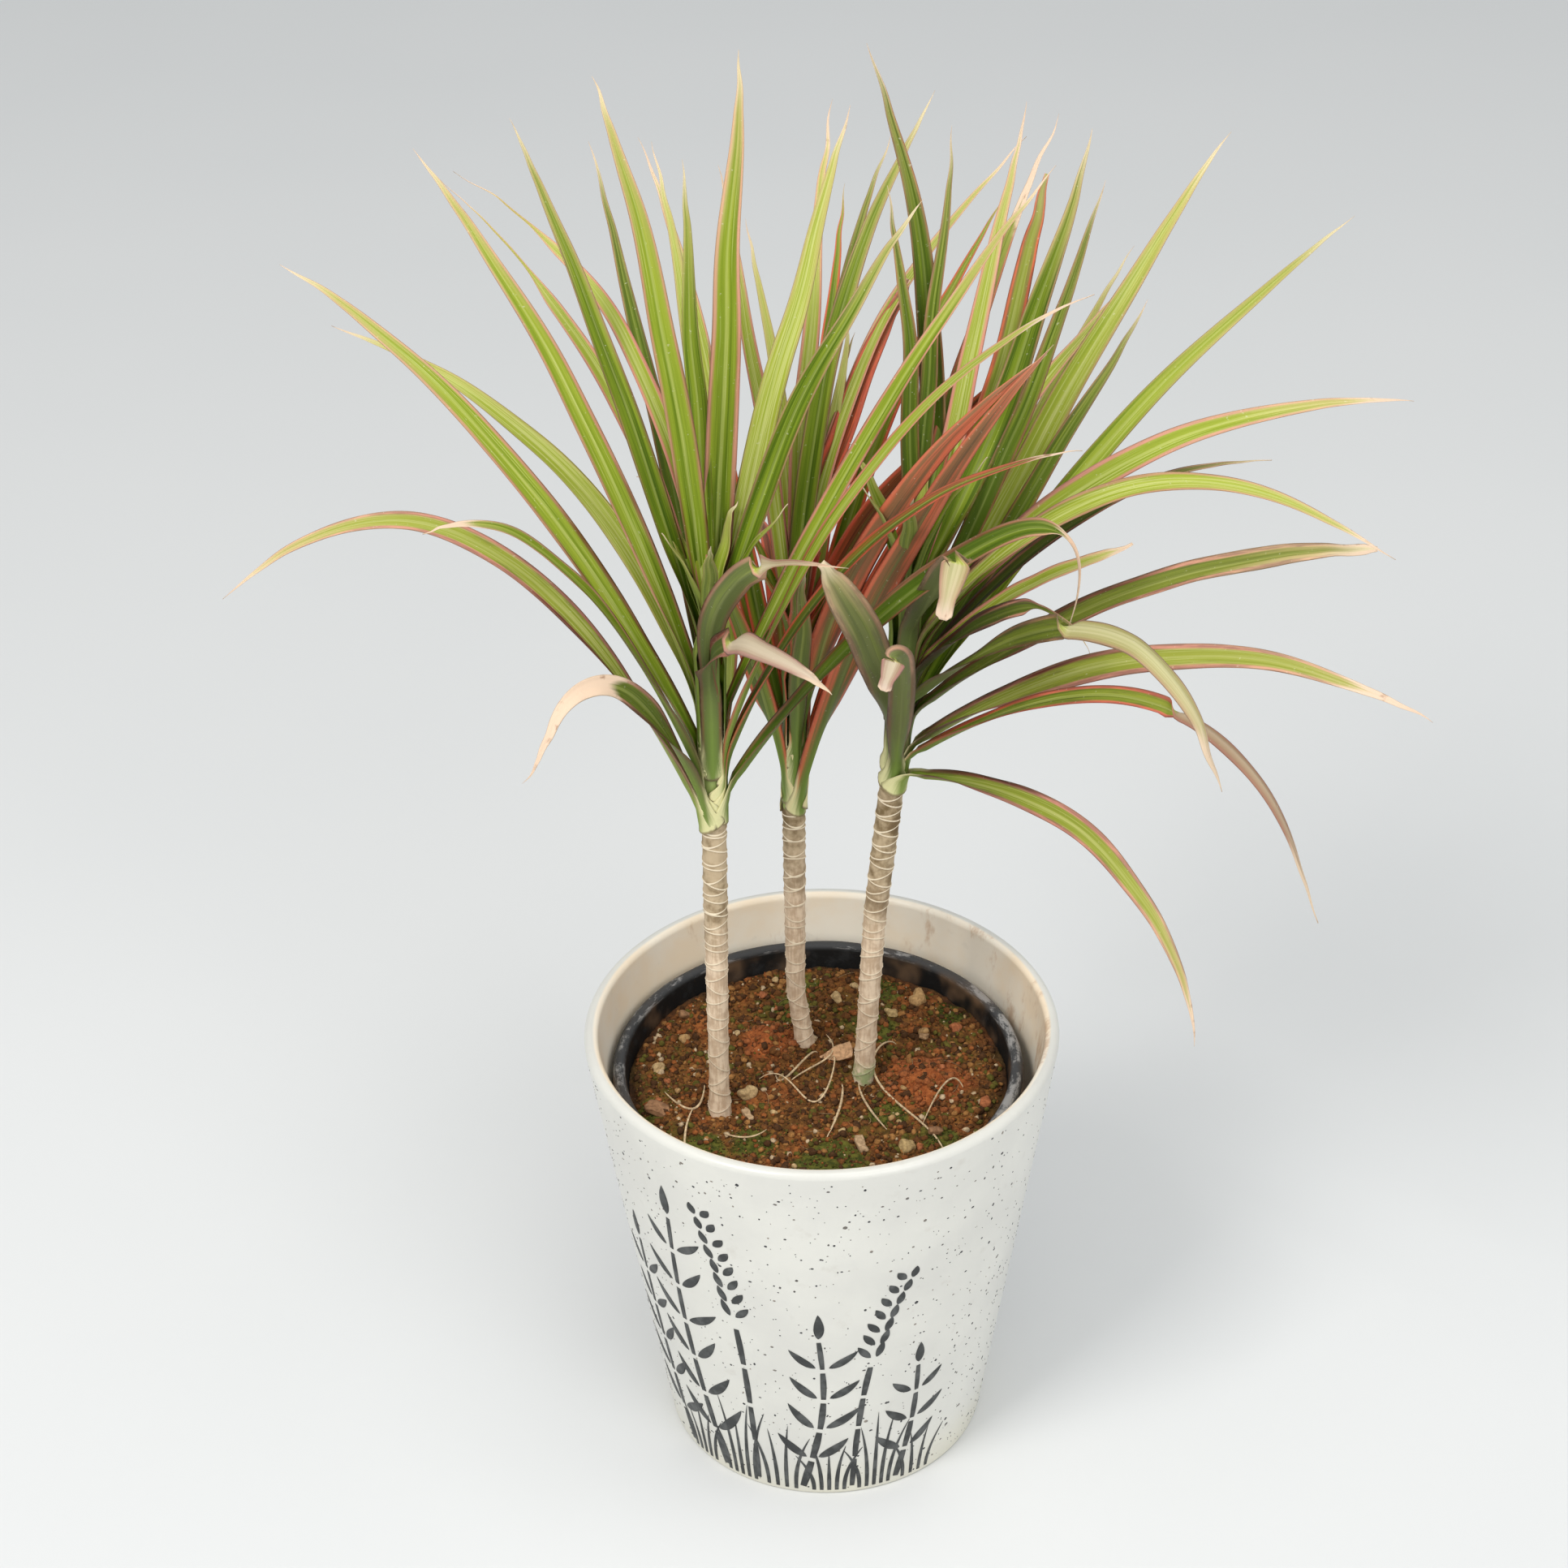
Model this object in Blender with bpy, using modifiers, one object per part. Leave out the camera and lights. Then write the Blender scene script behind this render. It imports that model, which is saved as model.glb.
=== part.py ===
"""Potted madagascar dragon tree: three leafy canes in soil, in a nursery pot that stands in a cover pot.

Metres, +Z up. The origin is the centre of the cover pot's flat foot, on the surface that it stands on.
The three canes stand in a row from left (-X) to right (+X), and the photographed side faces -Y.
"""

from collections import namedtuple
from math import cos, pi, radians, sin

import bmesh
import bpy
from mathutils import Vector

MM = 0.001
CLEARANCE = 0.3 * MM

# Cover pot, turned
POT_HEIGHT = 205 * MM
POT_RIM_RADIUS = 100 * MM
POT_FOOT_RADIUS = 69.5 * MM
POT_WALL = 6 * MM
POT_FLOOR = 8 * MM
POT_FOOT_EDGE = 1.5 * MM
POT_STEPS = 48

# Nursery pot, turned, standing on the cover pot's floor a little to the left of its centre
LINER_SHIFT = -1.8 * MM
LINER_RIM_HEIGHT = 186 * MM
LINER_RIM_RADIUS = 87 * MM
LINER_MOUTH_RADIUS = 81.5 * MM
LINER_RIM_DEPTH = 5 * MM
LINER_FOOT_RADIUS = 58 * MM
LINER_WALL = 1.5 * MM
LINER_STEPS = 40

# Potting soil, up to a finger's width below the nursery pot's rim
SOIL_HEIGHT = 177.5 * MM

# Canes: the foot flares, the stem tapers, and it runs on inside the leafy shoot to the growing tip
CANE_FLARE_HEIGHT = 10 * MM
CANE_TIP_RADIUS = 2.6 * MM
CANE_SIDES_SETTING = 5

# Leaves: a blade is a flat diamond in section, widest a third of the way up
LEAF_STEPS = 11
LEAF_THICKNESS_SHARE = 1 / 85
LEAF_FOOT_SHARE = 0.45
LEAF_TIP_SHARE = 0.16
LEAF_WIDEST_AT = 0.3
# A blade that arches round a gap of about a tenth of the plant's height is two pieces that meet at the bend.
WIDE_BEND = 60 * MM
BEND_GAP = 0.5 * MM
HEART_RADIUS = 4.5 * MM
HEART_HEIGHT = 20 * MM
YOUNG_LEAF_TURN = 137.5
YOUNG_LEAF_DROOP = radians(8)

Colour = namedtuple("Colour", "name base roughness")
GLAZE = Colour("cream_glazed_ceramic", (0.78, 0.75, 0.68, 1), 0.35)
BLACK_PLASTIC = Colour("black_nursery_plastic", (0.02, 0.02, 0.022, 1), 0.55)
EARTH = Colour("red_brown_soil", (0.16, 0.07, 0.04, 1), 0.95)
CANE_BARK = Colour("ringed_cane_bark", (0.42, 0.34, 0.27, 1), 0.8)
GREEN_LEAF = Colour("striped_green_leaf", (0.24, 0.31, 0.09, 1), 0.5)
RED_LEAF = Colour("red_edged_leaf", (0.30, 0.16, 0.11, 1), 0.5)

# A leaf's azimuth runs from +X towards +Y. Its middle, its tip and the knee of a bent leaf are each
# (reach, height) in mm from its foot, and turn is how far round to the left of its azimuth the tip lies.
# The width is in mm, and the lowest leaf of a crown comes first.
Leaf = namedtuple("Leaf", "azimuth middle tip turn width knee", defaults=(0, 10, None))
# A cane's course is (height, x, y) in mm from the soil through the first leaf to the growing tip.
Cane = namedtuple("Cane", "side course first_leaf foot_radius radius leaves heart young leaf_colour")

LEFT_LEAVES = (
    Leaf(190, (82, 134), (176, 121)),
    Leaf(225, (47, 79), (91, 55)),
    Leaf(-10, (70, 96), (132, 84), 0, 11, knee=(124, 130)),
    Leaf(75, (80, 106), (161, 205), 25, 9),
    Leaf(205, (52, 109), (107, 140), 0, 9),
    Leaf(-5, (56, 102), (136, 145), 0, 8),
    Leaf(165, (72, 124), (157, 197), 0, 11),
    Leaf(-20, (62, 138), (143, 219)),
    Leaf(88, (55, 103), (132, 195), 10, 9),
    Leaf(140, (65, 92), (193, 118)),
    Leaf(18, (61, 116), (135, 214), 0, 12),
    Leaf(105, (62, 92), (173, 167), 0, 9),
    Leaf(155, (49, 122), (111, 215)),
    Leaf(-90, (35, 48), (91, 53), 30, 9),
    Leaf(-90, (40, 72), (101, 106), 30),
    Leaf(130, (50, 103), (155, 158), 0, 8),
)
LEFT_HEART = (
    Leaf(135, (32, 119), (132, 167), 0, 8),
    Leaf(150, (36, 118), (76, 211), 0, 9),
    Leaf(140, (15, 135), (46, 229), 0, 11),
    Leaf(75, (35, 123), (60, 226), 0, 13),
    Leaf(50, (43, 107), (87, 199), 0, 11),
    Leaf(28, (38, 95), (93, 170)),
    Leaf(95, (30, 93), (75, 173), 0, 9),
)
MIDDLE_LEAVES = (
    Leaf(95, (65, 62), (150, 45)),
    Leaf(40, (49, 86), (122, 144)),
    Leaf(115, (60, 70), (150, 60)),
    Leaf(85, (45, 100), (90, 194), 15, 8),
    Leaf(140, (16, 41), (28, 67), 0, 8),
    Leaf(53, (51, 99), (145, 176), 0, 9),
    Leaf(81, (57, 86), (161, 155), 0, 9),
)
MIDDLE_HEART = (
    Leaf(82, (36, 115), (135, 196), 0, 9),
    Leaf(60, (26, 127), (116, 212)),
    Leaf(70, (32, 111), (120, 188), 0, 8),
    Leaf(45, (33, 120), (132, 194), 0, 8),
    Leaf(45, (16, 85), (64, 155)),
    Leaf(20, (30, 66), (98, 126), 0, 12),
    Leaf(125, (19, 112), (45, 206), 0, 8),
    Leaf(50, (20, 80), (33, 152), 0, 7),
)
RIGHT_LEAVES = (
    Leaf(-50, (109, 23), (164, -41)),
    Leaf(-82, (60, 80), (95, 106), -8),
    Leaf(-40, (121, 73), (193, 7), 0, 9),
    Leaf(-25, (107, 70), (209, 66), 0, 12),
    Leaf(60, (84, 69), (211, 126), 0, 9),
    Leaf(-90, (38, 62), (60, 112), -30, 12),
    Leaf(28, (88, 99), (203, 172)),
    Leaf(-5, (85, 61), (178, 82), 0, 11),
    Leaf(48, (91, 92), (205, 177), 0, 13),
    Leaf(-50, (104, 83), (167, 43)),
    Leaf(30, (56, 72), (109, 142), 0, 9),
    Leaf(10, (65, 67), (143, 85), 0, 8),
    Leaf(-33, (47, 48), (79, 39), 0, 9),
    Leaf(-13, (41, 41), (85, 67), 0, 8),
    Leaf(8, (83, 82), (196, 97), 0, 12),
    Leaf(32, (49, 86), (88, 179), 0, 9),
    Leaf(-10, (85, 79), (183, 55)),
    Leaf(55, (64, 57), (185, 87), 0, 9),
    Leaf(-73, (45, 51), (90, 63), -8, knee=(84, 92)),
)
RIGHT_HEART = (
    Leaf(50, (49, 71), (86, 157), 0, 9),
    Leaf(60, (50, 81), (97, 178)),
    Leaf(65, (51, 74), (155, 148), 0, 9),
    Leaf(75, (40, 80), (76, 172), 0, 8),
    Leaf(75, (35, 74), (60, 153), 20, 8),
    Leaf(55, (52, 93), (73, 204), 45, 11),
    Leaf(42, (56, 80), (96, 171), 0, 12),
)
CANES = (
    Cane("left", ((177.5, -43.5, -21), (325, -42, -20), (390, -41.5, -20)),
         325, 5.6, 4.8, LEFT_LEAVES, LEFT_HEART, 5, GREEN_LEAF),
    Cane("middle", ((177.5, -7, 23.5), (205, -10.5, 24), (300, -10, 24), (352, -8, 24)),
         300, 5.0, 4.5, MIDDLE_LEAVES, MIDDLE_HEART, 5, RED_LEAF),
    Cane("right", ((177.5, 17.5, -1), (260, 22.5, -1), (330, 30, -1), (398, 34.5, -1)),
         330, 5.4, 4.9, RIGHT_LEAVES, RIGHT_HEART, 5, GREEN_LEAF),
)


def clear_scene():
    for item in list(bpy.data.objects):
        bpy.data.objects.remove(item)


def new_collection(name):
    group = bpy.data.collections.new(name)
    bpy.context.scene.collection.children.link(group)
    return group


def material(colour):
    finish = bpy.data.materials.get(colour.name)
    if finish is None:
        finish = bpy.data.materials.new(colour.name)
        finish.use_nodes = True
        shader = finish.node_tree.nodes["Principled BSDF"]
        shader.inputs["Base Color"].default_value = colour.base
        shader.inputs["Roughness"].default_value = colour.roughness
    return finish


def add(name, data, colour, group):
    item = bpy.data.objects.new(name, data)
    group.objects.link(item)
    if colour:
        data.materials.append(material(colour))
    return item


def turned(name, profile, steps, colour, group):
    """A closed body turned round Z from (radius, height) points: down the outside, then up the inside."""
    shape = bmesh.new()
    points = [shape.verts.new((radius, 0, height)) for radius, height in profile]
    for start, end in zip(points, points[1:]):
        shape.edges.new((start, end))
    mesh = bpy.data.meshes.new(name)
    shape.to_mesh(mesh)
    shape.free()
    item = add(name, mesh, colour, group)
    screw = item.modifiers.new("turn", "SCREW")
    screw.axis = "Z"
    screw.steps = screw.render_steps = steps
    screw.use_merge_vertices = True
    screw.merge_threshold = 0.01 * MM
    screw.use_smooth_shade = True
    return item


def lip(outer_radius, inner_radius, top, points=5):
    """The rounded rim between two walls, from the inside over the top to the outside."""
    middle = (outer_radius + inner_radius) / 2
    half = (outer_radius - inner_radius) / 2
    angles = [pi - pi * step / (points + 1) for step in range(points + 2)]
    return [(middle + half * cos(angle), top - half + half * sin(angle)) for angle in angles]


def liner_radius(height):
    """Outer radius of the nursery pot's wall at a height."""
    share = (height - POT_FLOOR) / (LINER_RIM_HEIGHT - LINER_RIM_DEPTH - POT_FLOOR)
    return LINER_FOOT_RADIUS + (LINER_MOUTH_RADIUS + LINER_WALL - LINER_FOOT_RADIUS) * share


def build_pot(group):
    inner_foot = POT_FOOT_RADIUS - POT_WALL + (POT_RIM_RADIUS - POT_FOOT_RADIUS) * POT_FLOOR / POT_HEIGHT
    rim = lip(POT_RIM_RADIUS, POT_RIM_RADIUS - POT_WALL, POT_HEIGHT)
    outside = [
        (POT_FOOT_RADIUS, POT_FOOT_EDGE),
        (POT_FOOT_RADIUS - POT_FOOT_EDGE, 0),
        (0, 0),
    ]
    inside = [(0, POT_FLOOR), (inner_foot, POT_FLOOR)]
    turned("pot", inside + rim + outside, POT_STEPS, GLAZE, group)


def build_liner(group):
    floor = POT_FLOOR + CLEARANCE
    rim_foot = LINER_RIM_HEIGHT - LINER_RIM_DEPTH
    inside = [
        (0, floor + LINER_WALL),
        (LINER_FOOT_RADIUS - LINER_WALL, floor + LINER_WALL),
        (LINER_MOUTH_RADIUS, rim_foot),
    ]
    rim = lip(LINER_RIM_RADIUS, LINER_MOUTH_RADIUS, LINER_RIM_HEIGHT, points=3)
    outside = [
        (LINER_RIM_RADIUS, rim_foot),
        (LINER_MOUTH_RADIUS + LINER_WALL, rim_foot),
        (LINER_FOOT_RADIUS, floor),
        (0, floor),
    ]
    item = turned("liner_pot", inside + rim + outside, LINER_STEPS, BLACK_PLASTIC, group)
    item.location.x = LINER_SHIFT


def build_soil(group):
    foot = POT_FLOOR + LINER_WALL + 2 * CLEARANCE
    inset = LINER_WALL + 2 * CLEARANCE
    depth = SOIL_HEIGHT - foot
    shape = bmesh.new()
    bmesh.ops.create_cone(shape, cap_ends=True, segments=LINER_STEPS, depth=depth,
                          radius1=liner_radius(foot) - inset, radius2=liner_radius(SOIL_HEIGHT) - inset)
    mesh = bpy.data.meshes.new("soil")
    shape.to_mesh(mesh)
    shape.free()
    item = add("soil", mesh, EARTH, group)
    item.location = (LINER_SHIFT, 0, foot + depth / 2)


def cane_point(cane, height):
    """The cane's centre at a height in mm, in metres."""
    for low, high in zip(cane.course, cane.course[1:]):
        if height <= high[0]:
            break
    share = (height - low[0]) / (high[0] - low[0])
    x, y = (low[axis] + (high[axis] - low[axis]) * share for axis in (1, 2))
    return Vector((x, y, height)) * MM


def cane_radius(cane, height):
    """The cane's radius at a height in mm: it tapers only inside the leafy shoot."""
    top = cane.course[-1][0]
    share = max(0, (height - cane.first_leaf) / (top - cane.first_leaf))
    return cane.radius * MM + (CANE_TIP_RADIUS - cane.radius * MM) * share


def tube(name, points, radii, colour, group):
    curve = bpy.data.curves.new(name, "CURVE")
    curve.dimensions = "3D"
    curve.bevel_depth = 1
    curve.bevel_resolution = CANE_SIDES_SETTING
    curve.use_fill_caps = True
    spline = curve.splines.new("POLY")
    spline.points.add(len(points) - 1)
    for point, place, radius in zip(spline.points, points, radii):
        point.co = (*place, 1)
        point.radius = radius
    return add(name, curve, colour, group)


def build_cane(cane, group):
    soil, top = cane.course[0][0], cane.course[-1][0]
    flare = CANE_FLARE_HEIGHT / MM
    foot = cane_point(cane, soil) + Vector((0, 0, CLEARANCE))
    points = [foot, foot + Vector((0, 0, flare / 4 * MM))]
    radii = [cane.foot_radius * MM, (cane.foot_radius + cane.radius) / 2 * MM]
    steps = 12
    for step in range(steps + 1):
        height = soil + flare + (top - soil - flare) * step / steps
        points.append(cane_point(cane, height))
        radii.append(cane_radius(cane, height))
    tube("cane_" + cane.side, points, radii, CANE_BARK, group)


def outward(azimuth):
    return Vector((cos(radians(azimuth)), sin(radians(azimuth)), 0))


def curve_through(points, share):
    """The place at a share of the way along the smooth curve through evenly timed points."""
    time = share * (len(points) - 1)
    place = Vector()
    for index, point in enumerate(points):
        weight = 1
        for other in range(len(points)):
            if other != index:
                weight *= (time - other) / (index - other)
        place += point * weight
    return place


def leaf_shares(start, end):
    return [start + (end - start) * step / LEAF_STEPS for step in range(LEAF_STEPS + 1)]


def leaf_line(leaf, foot, start=0, end=1):
    """The blade's centre line, from its foot to its tip or between two shares of the way."""
    route = [leaf.middle, leaf.knee, leaf.tip] if leaf.knee else [leaf.middle, leaf.tip]
    points = [foot]
    for index, (reach, height) in enumerate(route):
        azimuth = leaf.azimuth + leaf.turn * (index + 1) / len(route)
        points.append(foot + (outward(azimuth) * reach + Vector((0, 0, height))) * MM)
    return [curve_through(points, share) for share in leaf_shares(start, end)]


def leaf_thickness(leaf):
    line = leaf_line(leaf, Vector())
    return sum((end - start).length for start, end in zip(line, line[1:])) * LEAF_THICKNESS_SHARE


def leaf_pieces(leaf):
    """The pieces that a blade is made in, each an ending for its name and the stretch that it covers."""
    line = leaf_line(leaf, Vector())
    bend = max((place - place.project(line[-1])).length for place in line)
    if bend < WIDE_BEND:
        return [("", 0, 1)]
    half_gap = BEND_GAP / line[-1].length / 2
    return [("_base", 0, 0.5 - half_gap), ("_tip", 0.5 + half_gap, 1)]


def leaf_share(share):
    """The blade's width at a place along it, as a share of its widest."""
    if share < LEAF_WIDEST_AT:
        return LEAF_FOOT_SHARE + (1 - LEAF_FOOT_SHARE) * sin(pi / 2 * share / LEAF_WIDEST_AT)
    onward = (share - LEAF_WIDEST_AT) / (1 - LEAF_WIDEST_AT)
    return LEAF_TIP_SHARE + (1 - LEAF_TIP_SHARE) * (1 - onward ** 2)


def blade_section(leaf, group):
    """The flat diamond that a blade's curve is bevelled with."""
    curve = bpy.data.curves.new("section", "CURVE")
    spline = curve.splines.new("POLY")
    spline.points.add(3)
    half_width = leaf.width * MM / 2
    half_thickness = leaf_thickness(leaf) / 2
    corners = ((half_width, 0), (0, -half_thickness), (-half_width, 0), (0, half_thickness))
    for point, (across, through) in zip(spline.points, corners):
        point.co = (across, through, 0, 1)
    spline.use_cyclic_u = True
    item = add("section", curve, None, group)
    item.hide_render = True
    item.display_type = "WIRE"
    return item


def blade(name, leaf, foot, colour, group, guides, start=0, end=1):
    curve = bpy.data.curves.new(name, "CURVE")
    curve.dimensions = "3D"
    curve.twist_mode = "Z_UP"
    curve.bevel_mode = "OBJECT"
    curve.bevel_object = blade_section(leaf, guides)
    curve.use_fill_caps = True
    spline = curve.splines.new("POLY")
    spline.points.add(LEAF_STEPS)
    line = leaf_line(leaf, foot, start, end)
    for point, place, share in zip(spline.points, line, leaf_shares(start, end)):
        point.co = (*place, 1)
        point.radius = leaf_share(share)
    return add(name, curve, colour, group)


def leaf_feet(cane):
    """Each single leaf and where its foot stands, clear of the cane's bark."""
    top = cane.course[-1][0]
    for index, leaf in enumerate(cane.leaves):
        height = cane.first_leaf + (top - cane.first_leaf) * (index + 0.5) / len(cane.leaves)
        reach = cane_radius(cane, height) + CLEARANCE + leaf_thickness(leaf) / 2 * LEAF_FOOT_SHARE
        yield leaf, cane_point(cane, height) + outward(leaf.azimuth) * reach


def young_leaves(cane):
    """The short upright leaves round the growing tip, each a golden turn on from the last."""
    for index in range(cane.young):
        share = index / cane.young
        length, lean = 72 - 22 * share, radians(16 - 10 * share)
        middle = length / 2 * sin(lean), length / 2 * cos(lean)
        tip = length * sin(lean + YOUNG_LEAF_DROOP), length * cos(lean + YOUNG_LEAF_DROOP)
        yield Leaf(YOUNG_LEAF_TURN * index, middle, tip, 0, 9)


def heart_foot(cane):
    """The middle of the hub's underside, just clear of the cane's tip."""
    return cane_point(cane, cane.course[-1][0]) + Vector((0, 0, CLEARANCE))


def heart_feet(cane):
    """Each leaf of the heart and where its foot is sunk in the hub."""
    rows = (*cane.heart, *young_leaves(cane))
    for index, leaf in enumerate(rows):
        rise = Vector((0, 0, HEART_HEIGHT * (0.2 + 0.5 * index / len(rows))))
        yield leaf, heart_foot(cane) + rise + outward(leaf.azimuth) * HEART_RADIUS * 0.4


def build_leaves(cane, group, guides):
    for index, (leaf, foot) in enumerate(leaf_feet(cane)):
        for ending, start, end in leaf_pieces(leaf):
            name = f"leaf_{cane.side}_{index + 1:02d}{ending}"
            blade(name, leaf, foot, cane.leaf_colour, group, guides, start, end)


def as_mesh(item, group):
    """A mesh copy of a curve, with its loose caps joined on, in place of the curve."""
    evaluated = item.evaluated_get(bpy.context.evaluated_depsgraph_get())
    mesh = bpy.data.meshes.new_from_object(evaluated)
    shape = bmesh.new()
    shape.from_mesh(mesh)
    bmesh.ops.remove_doubles(shape, verts=shape.verts, dist=0.001 * MM)
    bmesh.ops.recalc_face_normals(shape, faces=shape.faces)
    shape.to_mesh(mesh)
    shape.free()
    solid = bpy.data.objects.new(item.name + "_solid", mesh)
    solid.matrix_world = item.matrix_world
    group.objects.link(solid)
    bpy.data.objects.remove(item)
    return solid


def build_heart(cane, group, guides):
    """The topmost leaves, fused round a short hub."""
    name = "heart_" + cane.side
    shape = bmesh.new()
    bmesh.ops.create_cone(shape, cap_ends=True, segments=12, depth=HEART_HEIGHT,
                          radius1=HEART_RADIUS * 0.7, radius2=HEART_RADIUS)
    bmesh.ops.translate(shape, verts=shape.verts, vec=heart_foot(cane) + Vector((0, 0, HEART_HEIGHT / 2)))
    mesh = bpy.data.meshes.new(name)
    shape.to_mesh(mesh)
    shape.free()
    hub = add(name, mesh, cane.leaf_colour, group)
    pieces = new_collection("pieces_of_" + name)
    for leaf, foot in heart_feet(cane):
        as_mesh(blade("heart_leaf", leaf, foot, None, pieces, guides), pieces)
    union = hub.modifiers.new("fuse", "BOOLEAN")
    union.operation = "UNION"
    union.operand_type = "COLLECTION"
    union.collection = pieces
    fused = bpy.data.meshes.new_from_object(hub.evaluated_get(bpy.context.evaluated_depsgraph_get()))
    hub.modifiers.clear()
    hub.data = fused
    for item in list(pieces.objects):
        bpy.data.objects.remove(item)
    bpy.data.collections.remove(pieces)


def main():
    clear_scene()
    plant = new_collection("potted_dragon_tree")
    guides = new_collection("blade_sections")
    build_pot(plant)
    build_liner(plant)
    build_soil(plant)
    for cane in CANES:
        build_cane(cane, plant)
        build_leaves(cane, plant, guides)
        build_heart(cane, plant, guides)


main()
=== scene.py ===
"""Potted madagascar dragon tree: finished leaves, canes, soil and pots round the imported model.

Metres, +Z up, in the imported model's frame: the origin is the centre of the cover pot's foot, the canes stand
in a row from left (-X) to right (+X), and the photographed side faces -Y.
"""

import random
from collections import namedtuple
from math import atan2, cos, exp, hypot, pi, radians, sin

import bmesh
import bpy
from mathutils import Matrix, Vector, noise


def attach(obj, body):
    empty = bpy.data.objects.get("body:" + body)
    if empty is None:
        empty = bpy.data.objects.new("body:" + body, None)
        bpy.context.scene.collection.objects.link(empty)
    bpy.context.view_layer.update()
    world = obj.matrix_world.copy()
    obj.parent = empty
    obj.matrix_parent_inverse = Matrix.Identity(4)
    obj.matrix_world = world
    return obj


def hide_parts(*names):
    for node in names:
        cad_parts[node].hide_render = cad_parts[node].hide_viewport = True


MM = 0.001
CLEARANCE = 0.3 * MM

# Cover pot
POT_HEIGHT = 205 * MM
POT_RIM_RADIUS = 100 * MM
POT_FOOT_RADIUS = 69.5 * MM
POT_WALL = 6 * MM
POT_FLOOR = 8 * MM
POT_FOOT_EDGE = 1.5 * MM
POT_STEPS = 192
FLECK_COUNT = 2600
FLECK_SIZES = (0.22 * MM, 0.78 * MM)

# Nursery pot
LINER_SHIFT = -1.8 * MM
LINER_RIM_HEIGHT = 186 * MM
LINER_RIM_RADIUS = 87 * MM
LINER_MOUTH_RADIUS = 81.5 * MM
LINER_RIM_DEPTH = 5 * MM
LINER_FOOT_RADIUS = 58 * MM
LINER_WALL = 1.5 * MM
LINER_STEPS = 144

# Soil
SOIL_HEIGHT = 177.5 * MM
SOIL_INSET = 2.1 * MM
SOIL_RINGS = 110
SOIL_STEPS = 260
CRUMB_COUNT = 8200
MOSS_TUFT_COUNT = 2600
ROOTLET_COUNT = 46

# Canes
CANE_FLARE_HEIGHT = 10 * MM
CANE_WAIST = 0.86
CANE_TIP_RADIUS = 2.6 * MM
CANE_SUNK = 4 * MM
CANE_SIDES = 44
CANE_STATION = 0.42 * MM
SCAR_WIDTH = 0.42 * MM
SCAR_RELIEF = 0.28 * MM
SCAR_SPACING_LOW = 6.4 * MM
SCAR_SPACING_HIGH = 3.8 * MM

# Leaves
BLADE_STEPS = 84
BLADE_COLUMNS = 12
BLADE_THICKNESS = 0.5 * MM
SHEATH_STEPS = 16
LEAF_FOOT_SHARE = 0.62
LEAF_FULL_WIDTH_AFTER = 48 * MM
LEAF_TIP_POWER = 1.9
CLASP_LENGTH = 14 * MM
CLASP_DROP = 4 * MM
CLASP_WRAP = 92
SHEATH_STAGGER = 0.5
SHEATH_DEPTH = 0.75 * MM
CREASED_TIP_POWER = 3.5
BLUNT_TIP_POWER = 6
FLAP_PALE = 2.0
SHEATH_FLARE = 0.045
HEART_RADIUS = 4.5 * MM
HEART_HEIGHT = 20 * MM
YOUNG_LEAF_TURN = 137.5
YOUNG_LEAF_DROOP = radians(8)
YOUNG_LEAF_LENGTHS = (72, 50)
YOUNG_LEAF_LEANS = (16, 6)
YOUNG_LEAF_WIDTH = 9

# The photograph's view, and the studio: each light as (name, place, size, power, colour)
CAMERA_PLACE = (-0.01385, -1.19653, 1.12085)
CAMERA_PITCH = 33.59
CAMERA_ROLL = -1.095
CAMERA_LENS = 82
CAMERA_SENSOR = 36
TOWARDS_VIEWER = Vector((0, -cos(radians(CAMERA_PITCH)), sin(radians(CAMERA_PITCH))))
LIGHTS = (
    ("key", (-1.2, -1.3, 2.4), 0.9, 36, (1.0, 0.98, 0.95)),
    ("fill", (1.0, -1.9, 1.7), 1.6, 18, (0.98, 0.99, 1.0)),
    ("top", (0.4, -0.4, 2.6), 1.4, 17, (1.0, 0.99, 0.97)),
)
LIGHT_AIM = (0, 0, 0.3)
BACKDROP = (0.9, 0.93, 0.95, 1)
BACKDROP_STRENGTH = 0.55
FLOOR_HALF = 6

# How a leaf is coloured, each from 0 to 1: pale centre, blushed margins, red all over, mottled with age,
# and the share of its length that has dried from the tip.
Look = namedtuple("Look", "pale blush red age dry")
GREEN = Look(0.25, 0.45, 0.0, 0.05, 0.03)
BRIGHT = Look(0.35, 0.15, 0.0, 0.0, 0.03)
STRIPED = Look(0.6, 0.8, 0.0, 0.1, 0.05)
PALE = Look(1.0, 0.3, 0.0, 0.0, 0.06)
ROSY = Look(0.9, 1.0, 0.1, 0.0, 0.1)
OLIVE = Look(0.1, 0.35, 0.15, 0.35, 0.05)
RED = Look(0.25, 1.0, 0.8, 0.2, 0.05)
MAROON = Look(0.1, 0.9, 0.03, 0.95, 0.04)
EDGED = Look(0.3, 1.0, 0.3, 0.05, 0.04)

# The rows of leaves are the ones that the solids are made from, but for leaves 2 and 19 of the right crown,
# which end elsewhere. A leaf runs at an azimuth in degrees from its foot over its middle, and its knee if it
# has one, to its tip, each as (reach, height) in mm, and turns on the way. A row here also holds a look, how
# far the blade turns its face to the front, where along it a leaf creases over, shrivels or is cut off, and
# how much broader than its solid it is.
Leaf = namedtuple("Leaf", "azimuth middle tip turn width knee look face crease shrivel blunt broad",
                  defaults=(0, 10, None, GREEN, 0.7, None, None, None, 1))
# A cane's course is a row of (height, x, y) in mm, and its first leaf and radii are in mm too.
Cane = namedtuple("Cane", "side course first_leaf foot_radius radius leaves heart young young_look slot "
                          "inner", defaults=((),))

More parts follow.
